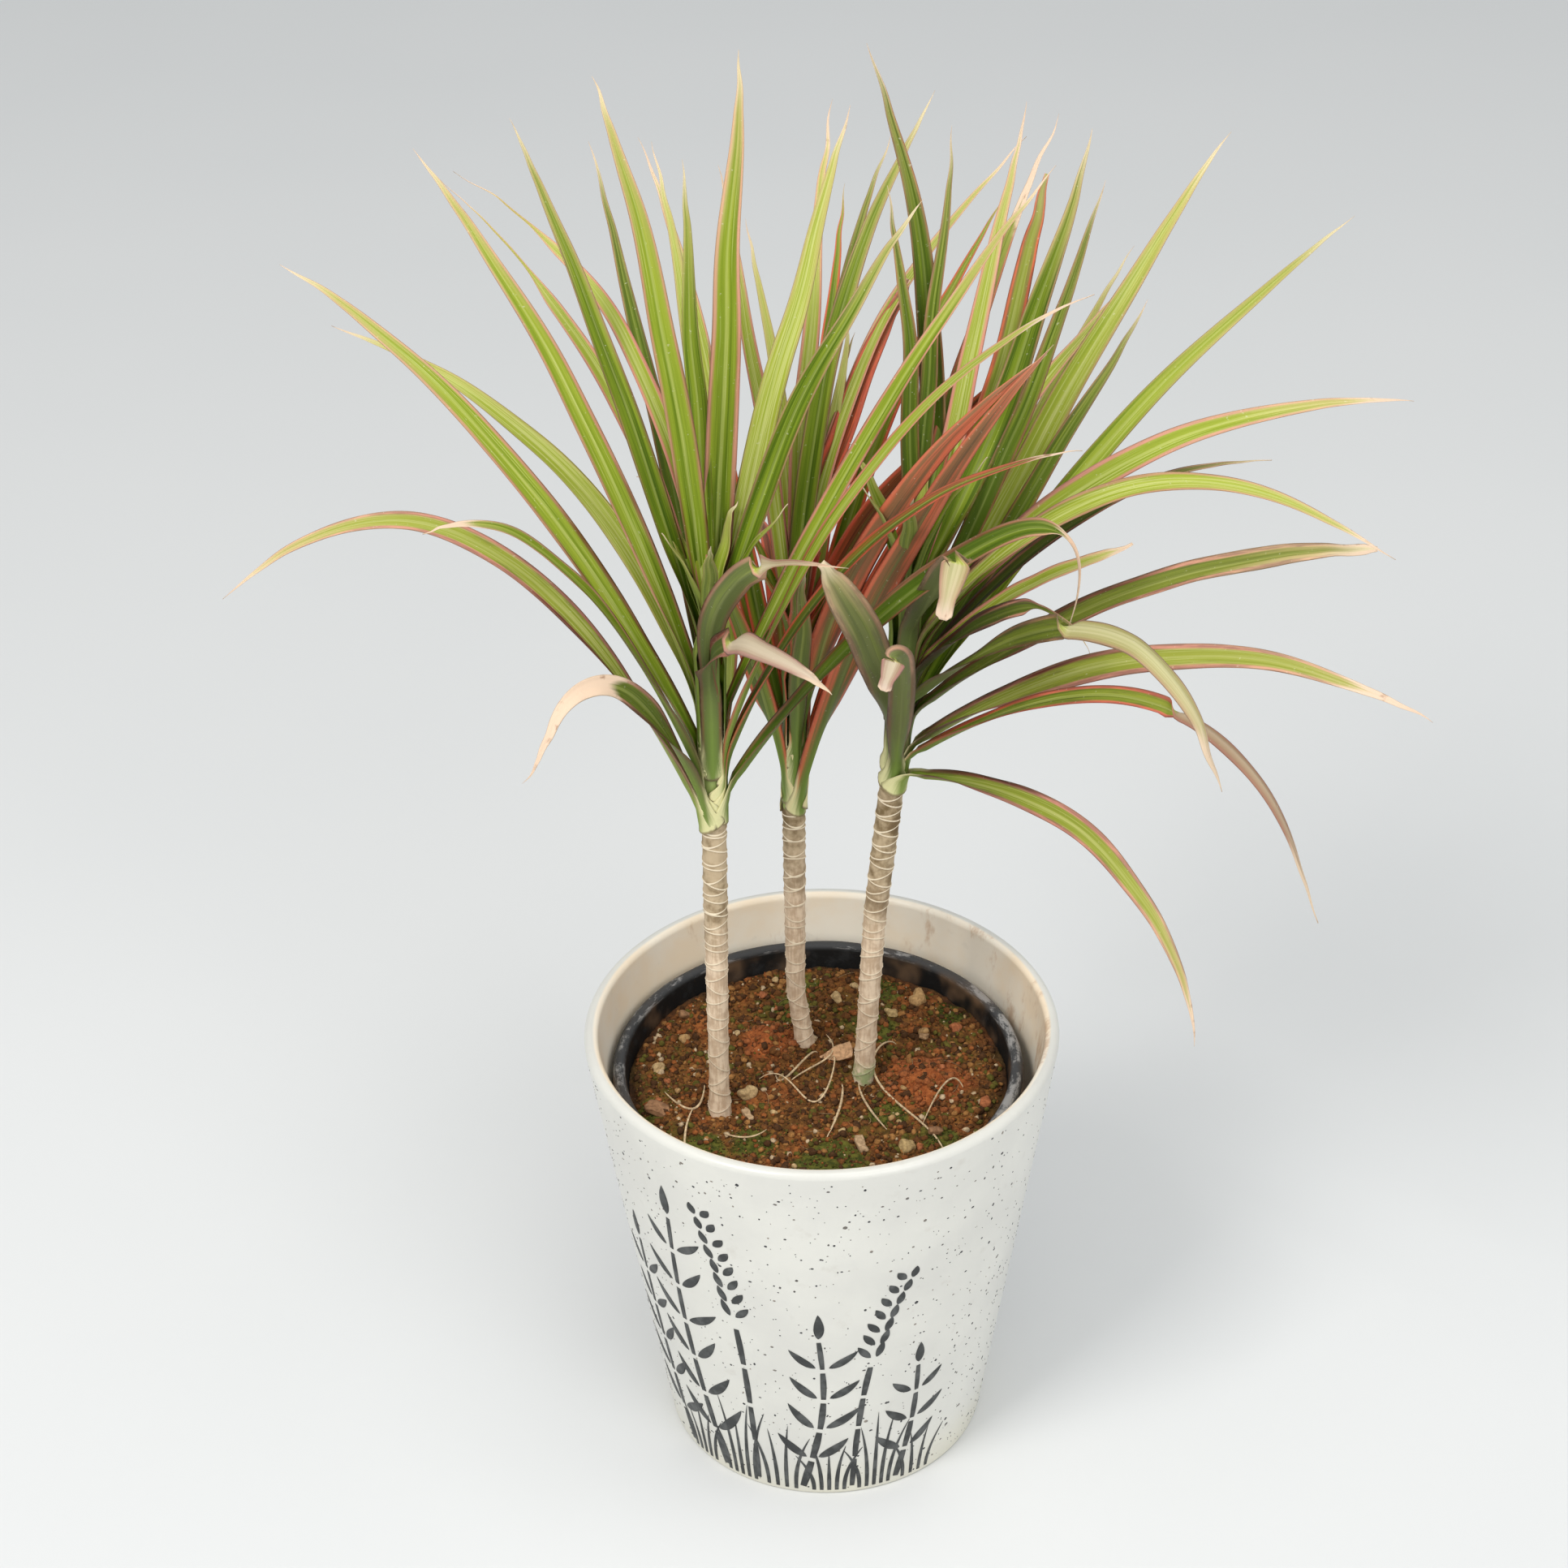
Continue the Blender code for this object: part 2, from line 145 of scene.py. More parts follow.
LEFT_LEAVES = (
    Leaf(190, (82, 134), (176, 121), look=Look(0.85, 1, 0.05, 0.45, 0.07), face=0.75),
    Leaf(225, (47, 79), (91, 55), look=Look(0.3, 0.8, 0.05, 0.5, 0.56), face=0.9),
    Leaf(-10, (70, 96), (132, 84), 0, 11, knee=(124, 130), look=Look(0.1, 0.7, 0.1, 0.3, 0.3), face=0.6,
         shrivel=0.7),
    Leaf(75, (80, 106), (161, 205), 25, 9, look=ROSY),
    Leaf(205, (52, 109), (107, 140), 0, 9, look=Look(0.4, 0.7, 0, 0.3, 0.2), face=0.3),
    Leaf(-5, (56, 102), (136, 145), 0, 8, look=Look(0.3, 0.8, 0.5, 0.4, 0.1), face=0.3),
    Leaf(165, (72, 124), (157, 197), 0, 11, look=STRIPED, face=0.7),
    Leaf(-20, (62, 138), (143, 219), look=Look(0.6, 0.9, 0.15, 0.1, 0.14), face=0.45, broad=0.75),
    Leaf(88, (55, 103), (132, 195), 10, 9, look=PALE, face=0.9),
    Leaf(140, (65, 92), (193, 118), look=PALE, face=0.6),
    Leaf(18, (61, 116), (135, 214), 0, 12, look=Look(0.5, 0.9, 0.1, 0.1, 0.08), face=0.6, broad=0.72),
    Leaf(105, (62, 92), (173, 167), 0, 9, look=OLIVE, face=0.5),
    Leaf(155, (49, 122), (111, 215), look=STRIPED, face=0.9),
    Leaf(-90, (35, 48), (91, 53), 30, 9, look=Look(0.05, 1, 0.1, 0.6, 0.1), face=0.9, crease=0.5, broad=1.4),
    Leaf(-90, (40, 72), (101, 106), 30, look=Look(0.1, 0.8, 0.1, 0.35, 0.12), face=0.8, crease=0.66,
         shrivel=0.72, broad=1.2),
    Leaf(130, (50, 103), (155, 158), 0, 8, look=ROSY, face=0.4, shrivel=0.75),
)
LEFT_HEART = (
    Leaf(135, (32, 119), (132, 167), 0, 8, look=ROSY, face=0.6, shrivel=0.8),
    Leaf(150, (36, 118), (76, 211), 0, 9, look=GREEN, face=1),
    Leaf(140, (15, 135), (46, 229), 0, 11, look=Look(0.5, 0.7, 0, 0, 0.04), face=1),
    Leaf(75, (35, 123), (60, 226), 0, 13, look=Look(0.45, 0.9, 0, 0, 0.02), face=1),
    Leaf(50, (43, 107), (87, 199), 0, 11, look=PALE, face=1),
    Leaf(28, (38, 95), (93, 170), look=GREEN, face=0.8),
    Leaf(95, (30, 93), (75, 173), 0, 9, look=BRIGHT, face=1),
)
MIDDLE_LEAVES = (
    Leaf(95, (65, 62), (150, 45), look=RED),
    Leaf(40, (49, 86), (122, 144), look=Look(0.1, 1, 0.9, 0.0, 0.03), face=0.9),
    Leaf(115, (60, 70), (150, 60), look=RED),
    Leaf(85, (45, 100), (90, 194), 15, 8, look=PALE),
    Leaf(140, (16, 41), (28, 67), 0, 8, look=EDGED, face=0.6),
    Leaf(53, (51, 99), (145, 176), 0, 9, look=EDGED, face=0.8),
    Leaf(81, (57, 86), (161, 155), 0, 9, look=EDGED, face=0.9),
)
MIDDLE_HEART = (
    Leaf(82, (36, 115), (135, 196), 0, 9, look=ROSY, face=0.7),
    Leaf(60, (26, 127), (116, 212), look=GREEN, face=0.6),
    Leaf(70, (32, 111), (120, 188), 0, 8, look=OLIVE, face=0.3),
    Leaf(45, (33, 120), (132, 194), 0, 8, look=ROSY, face=0.3),
    Leaf(45, (16, 85), (64, 155), look=Look(0, 1, 0.7, 0.4, 0.02), face=0.9, blunt=0.96),
    Leaf(20, (30, 66), (98, 126), 0, 12, look=Look(0, 1, 0.85, 0.3, 0.02), face=1),
    Leaf(125, (19, 112), (45, 206), 0, 8, look=ROSY, face=0.6),
    Leaf(50, (20, 80), (33, 152), 0, 7, look=PALE, face=0.8),
)
# The inner leaves are finer growth of a heart, each with the height in mm at which it leaves the stem. The
# first two lean forward, in front of the right crown.
MIDDLE_INNER = (
    (306, Leaf(-43, (47, 126), (108, 230), 13, 12, look=Look(0.0, 1, 0.8, 0.2, 0.03), face=1)),
    (328, Leaf(-44, (35, 109), (105, 204), 14, 12, look=Look(0.4, 1, 0.9, 0.0, 0.03), face=1)),
    (310, Leaf(-25, (20, 66), (44, 118), 0, 10, look=EDGED, face=0.9)),
    (312, Leaf(205, (15, 66), (34, 120), 0, 9, look=EDGED, face=0.9)),
    (320, Leaf(-80, (12, 60), (26, 108), 0, 9, look=OLIVE, face=0.9)),
    (322, Leaf(60, (18, 92), (50, 170), 0, 10, look=EDGED, face=1)),
    (326, Leaf(150, (18, 90), (32, 180), 0, 9, look=EDGED, face=0.9)),
)
RIGHT_LEAVES = (
    Leaf(-50, (109, 23), (164, -41), look=Look(0.75, 1, 0, 0.5, 0.1), face=0.8),
    Leaf(-87, (60, 80), (91, 95), -8, knee=(89, 107), look=Look(0.1, 0.9, 0, 0.6, 0.05), face=1, crease=0.68,
         blunt=0.97, broad=1.1),
    Leaf(-40, (121, 73), (193, 7), 0, 9, look=Look(0.5, 1, 0.2, 0.5, 0.12), face=0.5, crease=0.52),
    Leaf(-25, (107, 70), (209, 66), 0, 12, look=Look(0.8, 1, 0, 0.5, 0.18), face=0.8),
    Leaf(60, (84, 69), (211, 126), 0, 9, look=GREEN, face=0.6),
    Leaf(-90, (38, 62), (60, 112), -30, 12, look=Look(0.05, 0.7, 0, 0.6, 0.02), face=1, blunt=0.9, broad=1.3),
    Leaf(28, (88, 99), (203, 172), look=Look(0.5, 0.3, 0, 0, 0.03), face=0.8),
    Leaf(-5, (85, 61), (178, 82), 0, 11, look=Look(0.4, 0.9, 0, 0.6, 0.05), face=0.5, blunt=0.97),
    Leaf(48, (91, 92), (205, 177), 0, 13, look=Look(0.8, 0.5, 0, 0, 0.03), face=0.9),
    Leaf(-50, (104, 83), (167, 43), look=Look(0.3, 0.55, 0, 0.6, 0.12), face=0.8, crease=0.4, broad=1.15),
    Leaf(30, (56, 72), (109, 142), 0, 9, look=OLIVE, face=0.8),
    Leaf(10, (65, 67), (143, 85), 0, 8, look=MAROON, face=0.2),
    Leaf(-33, (47, 48), (79, 39), 0, 9, look=MAROON, face=0.6, shrivel=0.6),
    Leaf(-13, (41, 41), (85, 67), 0, 8, look=ROSY, face=0.3, blunt=0.9),
    Leaf(8, (83, 82), (196, 97), 0, 12, look=Look(0.7, 1, 0, 0.15, 0.1), face=0.7),
    Leaf(32, (49, 86), (88, 179), 0, 9, look=OLIVE, face=0.8),
    Leaf(-10, (85, 79), (183, 55), look=Look(0.9, 0.7, 0, 0.2, 0.1), face=0.6),
    Leaf(55, (64, 57), (185, 87), 0, 9, look=ROSY, face=0.5),
    Leaf(-73, (45, 51), (87, 60), -11, knee=(84, 82), look=Look(0.05, 0.6, 0, 0.6, 0.06), face=1, crease=0.66,
         blunt=0.97, broad=1.3),
)
RIGHT_HEART = (
    Leaf(50, (49, 71), (86, 157), 0, 9, look=Look(0.5, 0.8, 0.3, 0.5, 0), face=0.9, blunt=0.93),
    Leaf(60, (50, 81), (97, 178), look=ROSY, face=0.9),
    Leaf(65, (51, 74), (155, 148), 0, 9, look=Look(0.3, 0.8, 0.2, 0.4, 0.2), face=0.3),
    Leaf(75, (40, 80), (76, 172), 0, 8, look=OLIVE, face=0.4),
    Leaf(75, (35, 74), (60, 153), 20, 8, look=OLIVE, face=0.4),
    Leaf(55, (52, 93), (73, 204), 45, 11, look=OLIVE, face=0.6),
    Leaf(42, (56, 80), (96, 171), 0, 12, look=GREEN, face=1),
)
CANES = (
    Cane("left", ((177.5, -43.5, -21), (325, -42, -20), (390, -41.5, -20)),
         325, 5.6, 4.8, LEFT_LEAVES, LEFT_HEART, 5, BRIGHT, "green_leaf"),
    Cane("middle", ((177.5, -7, 23.5), (205, -10.5, 24), (300, -10, 24), (352, -8, 24)),
         300, 5.0, 4.5, MIDDLE_LEAVES, MIDDLE_HEART, 5, EDGED, "red_leaf", MIDDLE_INNER),
    Cane("right", ((177.5, 17.5, -1), (260, 22.5, -1), (330, 30, -1), (398, 34.5, -1)),
         330, 5.4, 4.9, RIGHT_LEAVES, RIGHT_HEART, 5, BRIGHT, "green_leaf"),
)

# On the soil, in mm from its centre: (x, y, radius) of a pebble and (x, y, radius, height) of a mound.
PEBBLES = (
    (9, 52, 3.2), (33, 41, 2.8), (44, 50, 4.2), (46, 27, 2.6), (-72, -33, 3.0), (36, -50, 3.4),
    (-30, -13, 3.0), (-68, 6, 2.4), (-57, 26, 2.2), (60, 30, 2.6), (20, 44, 1.8), (70, -20, 2.4),
)
MOUNDS = ((-21, 24, 15, 5), (46, -6, 21, 6), (-55, 40, 16, 2), (10, -40, 22, 1.5))
MOSS_PATCHES = ((-50, -50, 15), (5, -60, 20), (-28, -45, 12), (28, -28, 10), (24, 34, 15), (-12, 48, 12),
                (60, 42, 10), (30, 60, 12), (-70, -20, 9), (50, -44, 9), (-5, 66, 10))
# Each fibre is (x, y, lift) points in mm
FIBRES = (
    ((-25, -3, 1), (-10, -9, 1.5), (-1, -19, 1), (6, -4, 4), (5, 8, 1)),
    ((10, -6, 1), (9, -24, 3), (3, -43, 0.5)),
    ((34, 19, 1), (25, 12, 3), (26, -9, 2), (41, -32, 1), (52, -61, 0.5)),
    ((43, -35, 0.5), (54, -14, 4), (61, -13, 2)),
    ((-65, -10, 1), (-53, -22, 1.5), (-48, -10, 4)),
    ((-53, -22, 1.5), (-56, -42, 2), (-55, -62, 0.5)),
    ((0, 12, 3), (-6, 6, 4), (-14, -2, 1), (-18, 2, 0.5)),
    ((4, 20, 6), (6, 10, 4), (-2, 4, 2), (-12, -4, 0.5)),
    ((-40, -38, 1), (-30, -44, 3), (-22, -36, 0.5)),
    ((17, -10, 4), (20, -22, 1.5), (28, -38, 0.5)),
)
# Each chip is (x, y, turn, length, width, tilt) in mm and degrees
CHIPS = ((-68, -22, -20, 16, 7, 8), (17, -48, -70, 13, 4, 12), (46, 24, 75, 8, 4, 30), (48, -40, 0, 9, 3, 5),
         (-57, 41, 20, 8, 3, 20), (-30, -28, -60, 10, 3, 15))
# A scrap of dry leaf that leans on the right cane, from its tip, as (x, y, lift) in mm
SCRAP = ((1, 11, 0.8), (8, 10, 3.2), (15, 8, 8))


def ramp(value, low, high):
    """0 on the low side, 1 beyond high and a smooth change between."""
    share = min(max((value - low) / (high - low), 0), 1)
    return share * share * (3 - 2 * share)


def blend(first, second, share):
    return first + (second - first) * share


class Amount:
    """A number that changes over a surface. Sums and products of it add Math nodes to its finish."""

    def __init__(self, finish, socket):
        self.finish = finish
        self.socket = socket

    def __add__(self, other):
        return self.finish.maths("ADD", self, other)

    def __sub__(self, other):
        return self.finish.maths("SUBTRACT", self, other)

    def __rsub__(self, other):
        return self.finish.maths("SUBTRACT", other, self)

    def __mul__(self, other):
        return self.finish.maths("MULTIPLY", self, other)

    def __truediv__(self, other):
        return self.finish.maths("DIVIDE", self, other)

    def __pow__(self, other):
        return self.finish.maths("POWER", self, other)

    def __abs__(self):
        return self.finish.maths("ABSOLUTE", self)

    __radd__ = __add__
    __rmul__ = __mul__


class Finish:
    """A material, with a short way to add each node that its pattern needs."""

    def __init__(self, name, **shader_values):
        self.material = bpy.data.materials.new(name)
        self.material.use_nodes = True
        self.tree = self.material.node_tree
        self.shader = self.tree.nodes["Principled BSDF"]
        for socket, value in shader_values.items():
            self.shader.inputs[socket.replace("_", " ").title().replace("Ior", "IOR")].default_value = value

    def node(self, kind, settings, values):
        node = self.tree.nodes.new(kind)
        for name, value in settings.items():
            setattr(node, name, value)
        for socket, value in values.items():
            self.feed(node.inputs[socket], value)
        return node

    def feed(self, socket, value):
        if isinstance(value, Amount):
            self.tree.links.new(value.socket, socket)
        else:
            socket.default_value = value

    def maths(self, operation, first, second=0):
        node = self.node("ShaderNodeMath", {"operation": operation}, {0: first, 1: second})
        return Amount(self, node.outputs[0])

    def vector(self, x, y, z):
        node = self.node("ShaderNodeCombineXYZ", {}, {0: x, 1: y, 2: z})
        return Amount(self, node.outputs[0])

    def split(self, vector):
        node = self.node("ShaderNodeSeparateXYZ", {}, {0: vector})
        return [Amount(self, output) for output in node.outputs]

    def object_place(self):
        return Amount(self, self.node("ShaderNodeTexCoord", {}, {}).outputs["Object"])

    def attribute(self, name):
        return Amount(self, self.node("ShaderNodeAttribute", {"attribute_name": name}, {}).outputs["Vector"])

    def noise(self, place, scale, detail=3, roughness=0.55):
        values = {"Vector": place, "Scale": scale, "Detail": detail, "Roughness": roughness}
        return Amount(self, self.node("ShaderNodeTexNoise", {}, values).outputs[0])

    def ramp(self, amount, low, high):
        settings = {"interpolation_type": "SMOOTHSTEP"}
        values = {"Value": amount, "From Min": low, "From Max": high}
        return Amount(self, self.node("ShaderNodeMapRange", settings, values).outputs[0])

    def mix(self, first, second, share):
        """One colour over another."""
        node = self.node("ShaderNodeMix", {"data_type": "RGBA"}, {0: share, 6: first, 7: second})
        return Amount(self, node.outputs[2])

    def layers(self, colour, *coats):
        """A colour with others laid over it in turn, each with its share."""
        for coat, share in coats:
            colour = self.mix(colour, coat, share)
        return colour

    def bump(self, height, strength, distance):
        values = {"Strength": strength, "Distance": distance, "Height": height}
        node = self.node("ShaderNodeBump", {}, values)
        self.feed(self.shader.inputs["Normal"], Amount(self, node.outputs[0]))

    def colour(self, colour):
        self.feed(self.shader.inputs["Base Color"], colour)

    def roughness(self, amount):
        self.feed(self.shader.inputs["Roughness"], amount)


# Leaf colours
DEEP_GREEN = (0.058, 0.105, 0.004, 1)
LIGHT_GREEN = (0.180, 0.265, 0.010, 1)
YELLOW_GREEN = (0.36, 0.415, 0.045, 1)
CREAM_GREEN = (0.56, 0.59, 0.19, 1)
BLUSH_PINK = (0.66, 0.29, 0.21, 1)
BLUSH_MAROON = (0.120, 0.024, 0.012, 1)
BRICK_RED = (0.74, 0.100, 0.045, 1)
BROWN_RED = (0.085, 0.022, 0.012, 1)
RUST_BROWN = (0.26, 0.075, 0.028, 1)
AGED_PURPLE = (0.070, 0.040, 0.036, 1)
FADED_OLIVE = (0.32, 0.28, 0.085, 1)
DUSKY_GREEN = (0.045, 0.060, 0.016, 1)
MARGIN_TAN = (0.23, 0.115, 0.030, 1)
DUST = (0.78, 0.74, 0.56, 1)
TIP_PINK = (0.76, 0.53, 0.31, 1)
TIP_CREAM = (0.86, 0.73, 0.50, 1)
FLAP_MAUVE = (0.38, 0.17, 0.17, 1)
FLAP_CREAM = (0.68, 0.52, 0.46, 1)
FLAP_RED = (0.27, 0.070, 0.065, 1)
DRY_STRAW = (0.80, 0.60, 0.44, 1)
DRY_BROWN = (0.26, 0.11, 0.05, 1)
FOOT_CREAM = (0.80, 0.76, 0.40, 1)
TORN_BROWN = (0.20, 0.13, 0.07, 1)
FRESH_GREEN = (0.14, 0.27, 0.008, 1)
UNDERSIDE = (0.36, 0.35, 0.19, 1)

# The other colours, where a pair is the two ends of a blend
LOW_BARK = ((0.82, 0.65, 0.47, 1), (0.58, 0.42, 0.28, 1))
HIGH_BARK = ((0.52, 0.40, 0.25, 1), (0.20, 0.135, 0.060, 1))
BARK_STAIN = (0.14, 0.085, 0.040, 1)
# Painted shade: the dark band on both sides of each leaf-scar ring, standing in for the shade beside the
# raised ring.
SCAR_PAINTED_SHADE = (0.22, 0.135, 0.075, 1)
SCAR_CREAM = (0.90, 0.77, 0.57, 1)
SHOOT_GREEN = (0.34, 0.42, 0.13, 1)
BARK_MOSS = (0.27, 0.36, 0.15, 1)
GLAZE = ((0.70, 0.69, 0.64, 1), (0.76, 0.75, 0.69, 1))
GLAZE_YELLOWED = (0.78, 0.72, 0.50, 1)
# The inside's peach cream, made near white as painted light: it stands in for light bounced round inside the
# pot.
INNER_GLAZE_AND_PAINTED_LIGHT = ((0.98, 0.90, 0.76, 1), (0.98, 0.82, 0.61, 1))
INNER_STAIN = (0.58, 0.34, 0.17, 1)
GRIME = (0.40, 0.34, 0.26, 1)
PLASTIC_BLACK = (0.010, 0.010, 0.010, 1)
LIP_GREY = (0.065, 0.067, 0.070, 1)
SCUFF_GREY = (0.42, 0.41, 0.40, 1)
SOIL_DUST = (0.30, 0.18, 0.10, 1)
EARTH = ((0.080, 0.034, 0.009, 1), (0.26, 0.110, 0.026, 1))
RUSTY_EARTH = ((0.20, 0.050, 0.014, 1), (0.42, 0.130, 0.036, 1))
OLIVE_EARTH = (0.095, 0.080, 0.012, 1)
# A darker earth, laid in a ring next to the nursery pot's wall.
WALLSIDE_DARK_EARTH = (0.050, 0.026, 0.016, 1)
MOSS = ((0.040, 0.048, 0.007, 1), (0.13, 0.125, 0.020, 1))
GRIT = (0.48, 0.36, 0.25, 1)
GRAIN_SHADE = (0.62, 0.60, 0.58, 1)
CRUMB_TINTS = ((0.18, 0.070, 0.019), (0.31, 0.100, 0.026), (0.085, 0.036, 0.012), (0.38, 0.180, 0.055),
               (0.13, 0.11, 0.018), (0.60, 0.45, 0.28))
CRUMB_SHARES = (32, 15, 28, 9, 12, 4)
CRUMB_RED = (0.34, 0.108, 0.034)
PEBBLE_TINTS = ((0.46, 0.28, 0.12), (0.60, 0.42, 0.21), (0.44, 0.15, 0.06), (0.50, 0.35, 0.16))
CHIP_TINTS = ((0.44, 0.27, 0.14), (0.34, 0.18, 0.09), (0.52, 0.35, 0.20))
FIBRE_TINT = Vector((0.72, 0.54, 0.33))
ROOTLET_TINT = Vector((0.42, 0.27, 0.14))
SCRAP_TINT = (0.66, 0.40, 0.22)
CHARCOAL = ((0.034, 0.037, 0.037, 1), (0.095, 0.100, 0.098, 1))
FLECK = ((0.020, 0.022, 0.026, 1), (0.30, 0.26, 0.21, 1))
FLECK_GREY = (0.10, 0.10, 0.11, 1)
FLOOR = ((0.74, 0.75, 0.75, 1), (0.78, 0.785, 0.78, 1))


LeafPlace = namedtuple("LeafPlace", "across along metres pale flap blush red age dry seed side margin "
                                    "fibre streak rusty mottle withered")


def leaf_place(finish):
    """What a leaf's colour depends on: the place on it, the leaf's look and state, and streaks along it."""
    across, along, metres = finish.split(finish.attribute("leaf_place"))
    look_pale, blush, red = finish.split(finish.attribute("leaf_look"))
    age, dry, seed = finish.split(finish.attribute("leaf_state"))
    side = finish.split(finish.attribute("leaf_side"))[0]
    pale = finish.maths("MINIMUM", look_pale, 1.0)
    flap = finish.ramp(look_pale, 1.1, FLAP_PALE)
    drift = finish.noise(finish.vector(seed * 7.7, metres * 11, 0.5), 1.0, 2) - 0.5
    margin = abs(across + drift * 0.25)
    fibre = finish.noise(finish.vector(across * 9, metres * 16, seed), 1.0)
    streak = finish.noise(finish.vector(across * 2.2, metres * 8, seed + 5), 1.0, 2)
    rusty = finish.noise(finish.vector(across * 1.4, metres * 14, seed + 9), 1.0, 3)
    mottle = finish.noise(finish.object_place(), 190)
    withered = finish.ramp(along + dry + (streak - 0.5) * 0.12 + (margin - 0.5) * 0.05, 0.985, 1.045)
    return LeafPlace(across, along, metres, pale, flap, blush, red, age, dry, seed, side, margin,
                     fibre, streak, rusty, mottle, withered)


def leaf_green(finish, at):
    """The green of a leaf, with a paler midrib and fine pale lines."""
    green = finish.ramp(at.fibre * 0.55 + at.streak * 0.55 + at.along * 0.2 + at.pale * 0.5, 0.60, 0.98)
    paler = at.pale * 0.8 + (at.streak - 0.5) * 1.2 + at.along * 0.4 - 0.2
    midrib = finish.ramp(1 - at.margin / 0.22 + (at.fibre - 0.5) * 1.6, 0.1, 0.9)
    lines = finish.ramp(at.fibre + (at.pale - 0.5) * 0.25, 0.56, 0.72)
    return finish.layers(DEEP_GREEN,
                         (LIGHT_GREEN, green),
                         (YELLOW_GREEN, finish.ramp(paler, 0.0, 0.95)),
                         (CREAM_GREEN, midrib * (0.12 + at.pale * 0.5)),
                         (CREAM_GREEN, lines * (0.25 + at.pale * 0.55)))


def leaf_red(finish, at, colour):
    """The reds of a reddened leaf, and the olive and dusk of an old one."""
    rusty = finish.ramp(at.rusty + (1 - at.margin) * 0.1, 0.44, 0.62)
    brown = finish.ramp(at.fibre * 0.9 + (1 - at.margin) * 0.35 - at.red * 0.2, 0.46, 0.7) * 0.85
    reddened = finish.layers(BRICK_RED, (RUST_BROWN, rusty), (BROWN_RED, brown))
    reach = at.red * (0.45 + at.along * 1.25) + (at.streak - 0.5) * 0.9 + (at.margin - 0.5) * 0.6
    aged = finish.ramp(at.age, 0.2, 0.7)
    return finish.layers(colour,
                         (reddened, finish.ramp(reach, 0.3, 0.8) * finish.ramp(at.red, 0.0, 0.15)),
                         (FADED_OLIVE, aged * (0.15 + at.pale * 0.6) * (0.45 + at.along * 0.5)),
                         (DUSKY_GREEN, aged * (1 - at.pale) * (1 - at.along * 0.4) * 0.55))


def leaf_margin(finish, at, colour):
    """The tan and blushed margins, and the blush and cream of the tip."""
    plain = 1 - finish.ramp(at.red, 0.05, 0.3) * 0.85
    band = finish.ramp(at.margin + (at.fibre - 0.5) * 0.45 + (at.streak - 0.5) * 0.35, 0.60, 0.95)
    edge = finish.ramp(at.margin + (at.fibre - 0.5) * 0.30 + at.blush * 0.24 + at.age * 0.12, 0.86, 1.06)
    ruddy = at.along + at.pale * 0.35 + at.red * 0.3 + (at.streak - 0.5) * 0.8 + (at.rusty - 0.5) * 1.4
    rim = finish.layers(BLUSH_MAROON,
                        (BLUSH_PINK, finish.ramp(ruddy, 0.2, 0.75)),
                        (BRICK_RED, finish.ramp(at.red, 0.05, 0.3) * 0.9))
    blushed = finish.ramp(at.along + (at.streak - 0.5) * 0.5 + (at.margin - 0.5) * 0.3, 0.58, 1.02)
    creamy = finish.ramp(at.along + (at.streak - 0.5) * 0.1, 0.87, 0.99)
    return finish.layers(colour,
                         (MARGIN_TAN, band * at.blush * plain * 0.5),
                         (rim, edge * at.blush),
                         (TIP_PINK, blushed * (0.25 + at.blush * 0.5) * plain),
                         (TIP_CREAM, creamy * plain * 0.75))


def leaf_wear(finish, at, colour):
    """The back that shows past a crease, the blotches of age, pale specks and the dry tip."""
    dusty = finish.layers(FLAP_MAUVE,
                          (FLAP_CREAM, finish.ramp(at.streak * 0.6 + (1 - at.margin) * 0.55, 0.35, 0.75)),
                          (FLAP_RED, finish.ramp(at.red, 0.04, 0.1) * (0.45 + at.margin * 0.5)))
    blotch = finish.noise(finish.vector(at.across * 3.5, at.metres * 60, at.seed + 3), 1.0, 4, 0.6)
    blotch = blotch + (at.streak - 0.5) * 0.5 + (at.margin - 0.5) * 0.5 - at.along * 0.12
    specks = finish.ramp(finish.noise(finish.object_place(), 620, 2), 0.68, 0.76)
    speckle = finish.ramp(at.mottle + (at.streak - 0.5) * 0.4, 0.60, 0.76)
    return finish.layers(colour,
                         (dusty, at.flap * (at.blush * 0.9 - 0.1)),
                         (AGED_PURPLE, finish.ramp(blotch, 0.41, 0.70) * at.age * 0.9),
                         (DUST, specks * (0.15 + at.along * 0.3)),
                         (finish.mix(DRY_STRAW, DRY_BROWN, speckle * 0.7), at.withered))


def leaf_foot(finish, at, colour):
    """The fresh green and cream of a leaf's foot with its torn edge, and the paler underside."""
    fresh = (1 - finish.ramp(at.metres, 0.012, 0.055)) * (1 - at.margin * at.blush)
    foot = 1 - finish.ramp(at.metres + (0.5 - at.margin) * 0.020 + (at.fibre - 0.5) * 0.010, 0.001, 0.012)
    torn = 1 - finish.ramp(at.metres + (at.streak - 0.5) * 0.002, 0.0003, 0.0014)
    return finish.layers(colour,
                         (FRESH_GREEN, fresh * 0.7),
                         (FOOT_CREAM, foot * 0.9),
                         (TORN_BROWN, torn * 0.8),
                         (UNDERSIDE, (1 - at.side) * (1 - foot) * 0.2))


def leaf_finish():
    finish = Finish("dragon_leaf", roughness=0.42, specular_ior_level=0.12)
    at = leaf_place(finish)
    colour = leaf_green(finish, at)
    for lay_over in (leaf_red, leaf_margin, leaf_wear, leaf_foot):
        colour = lay_over(finish, at, colour)
    finish.colour(colour)
    finish.roughness(0.38 + at.fibre * 0.12 + at.withered * 0.3 + at.age * 0.1)
    veins = finish.noise(finish.vector(at.across * 26, at.metres * 10, at.seed), 1.0, 2)
    finish.bump(veins + at.mottle * 0.3, 0.4, 0.3 * MM)
    return finish.material


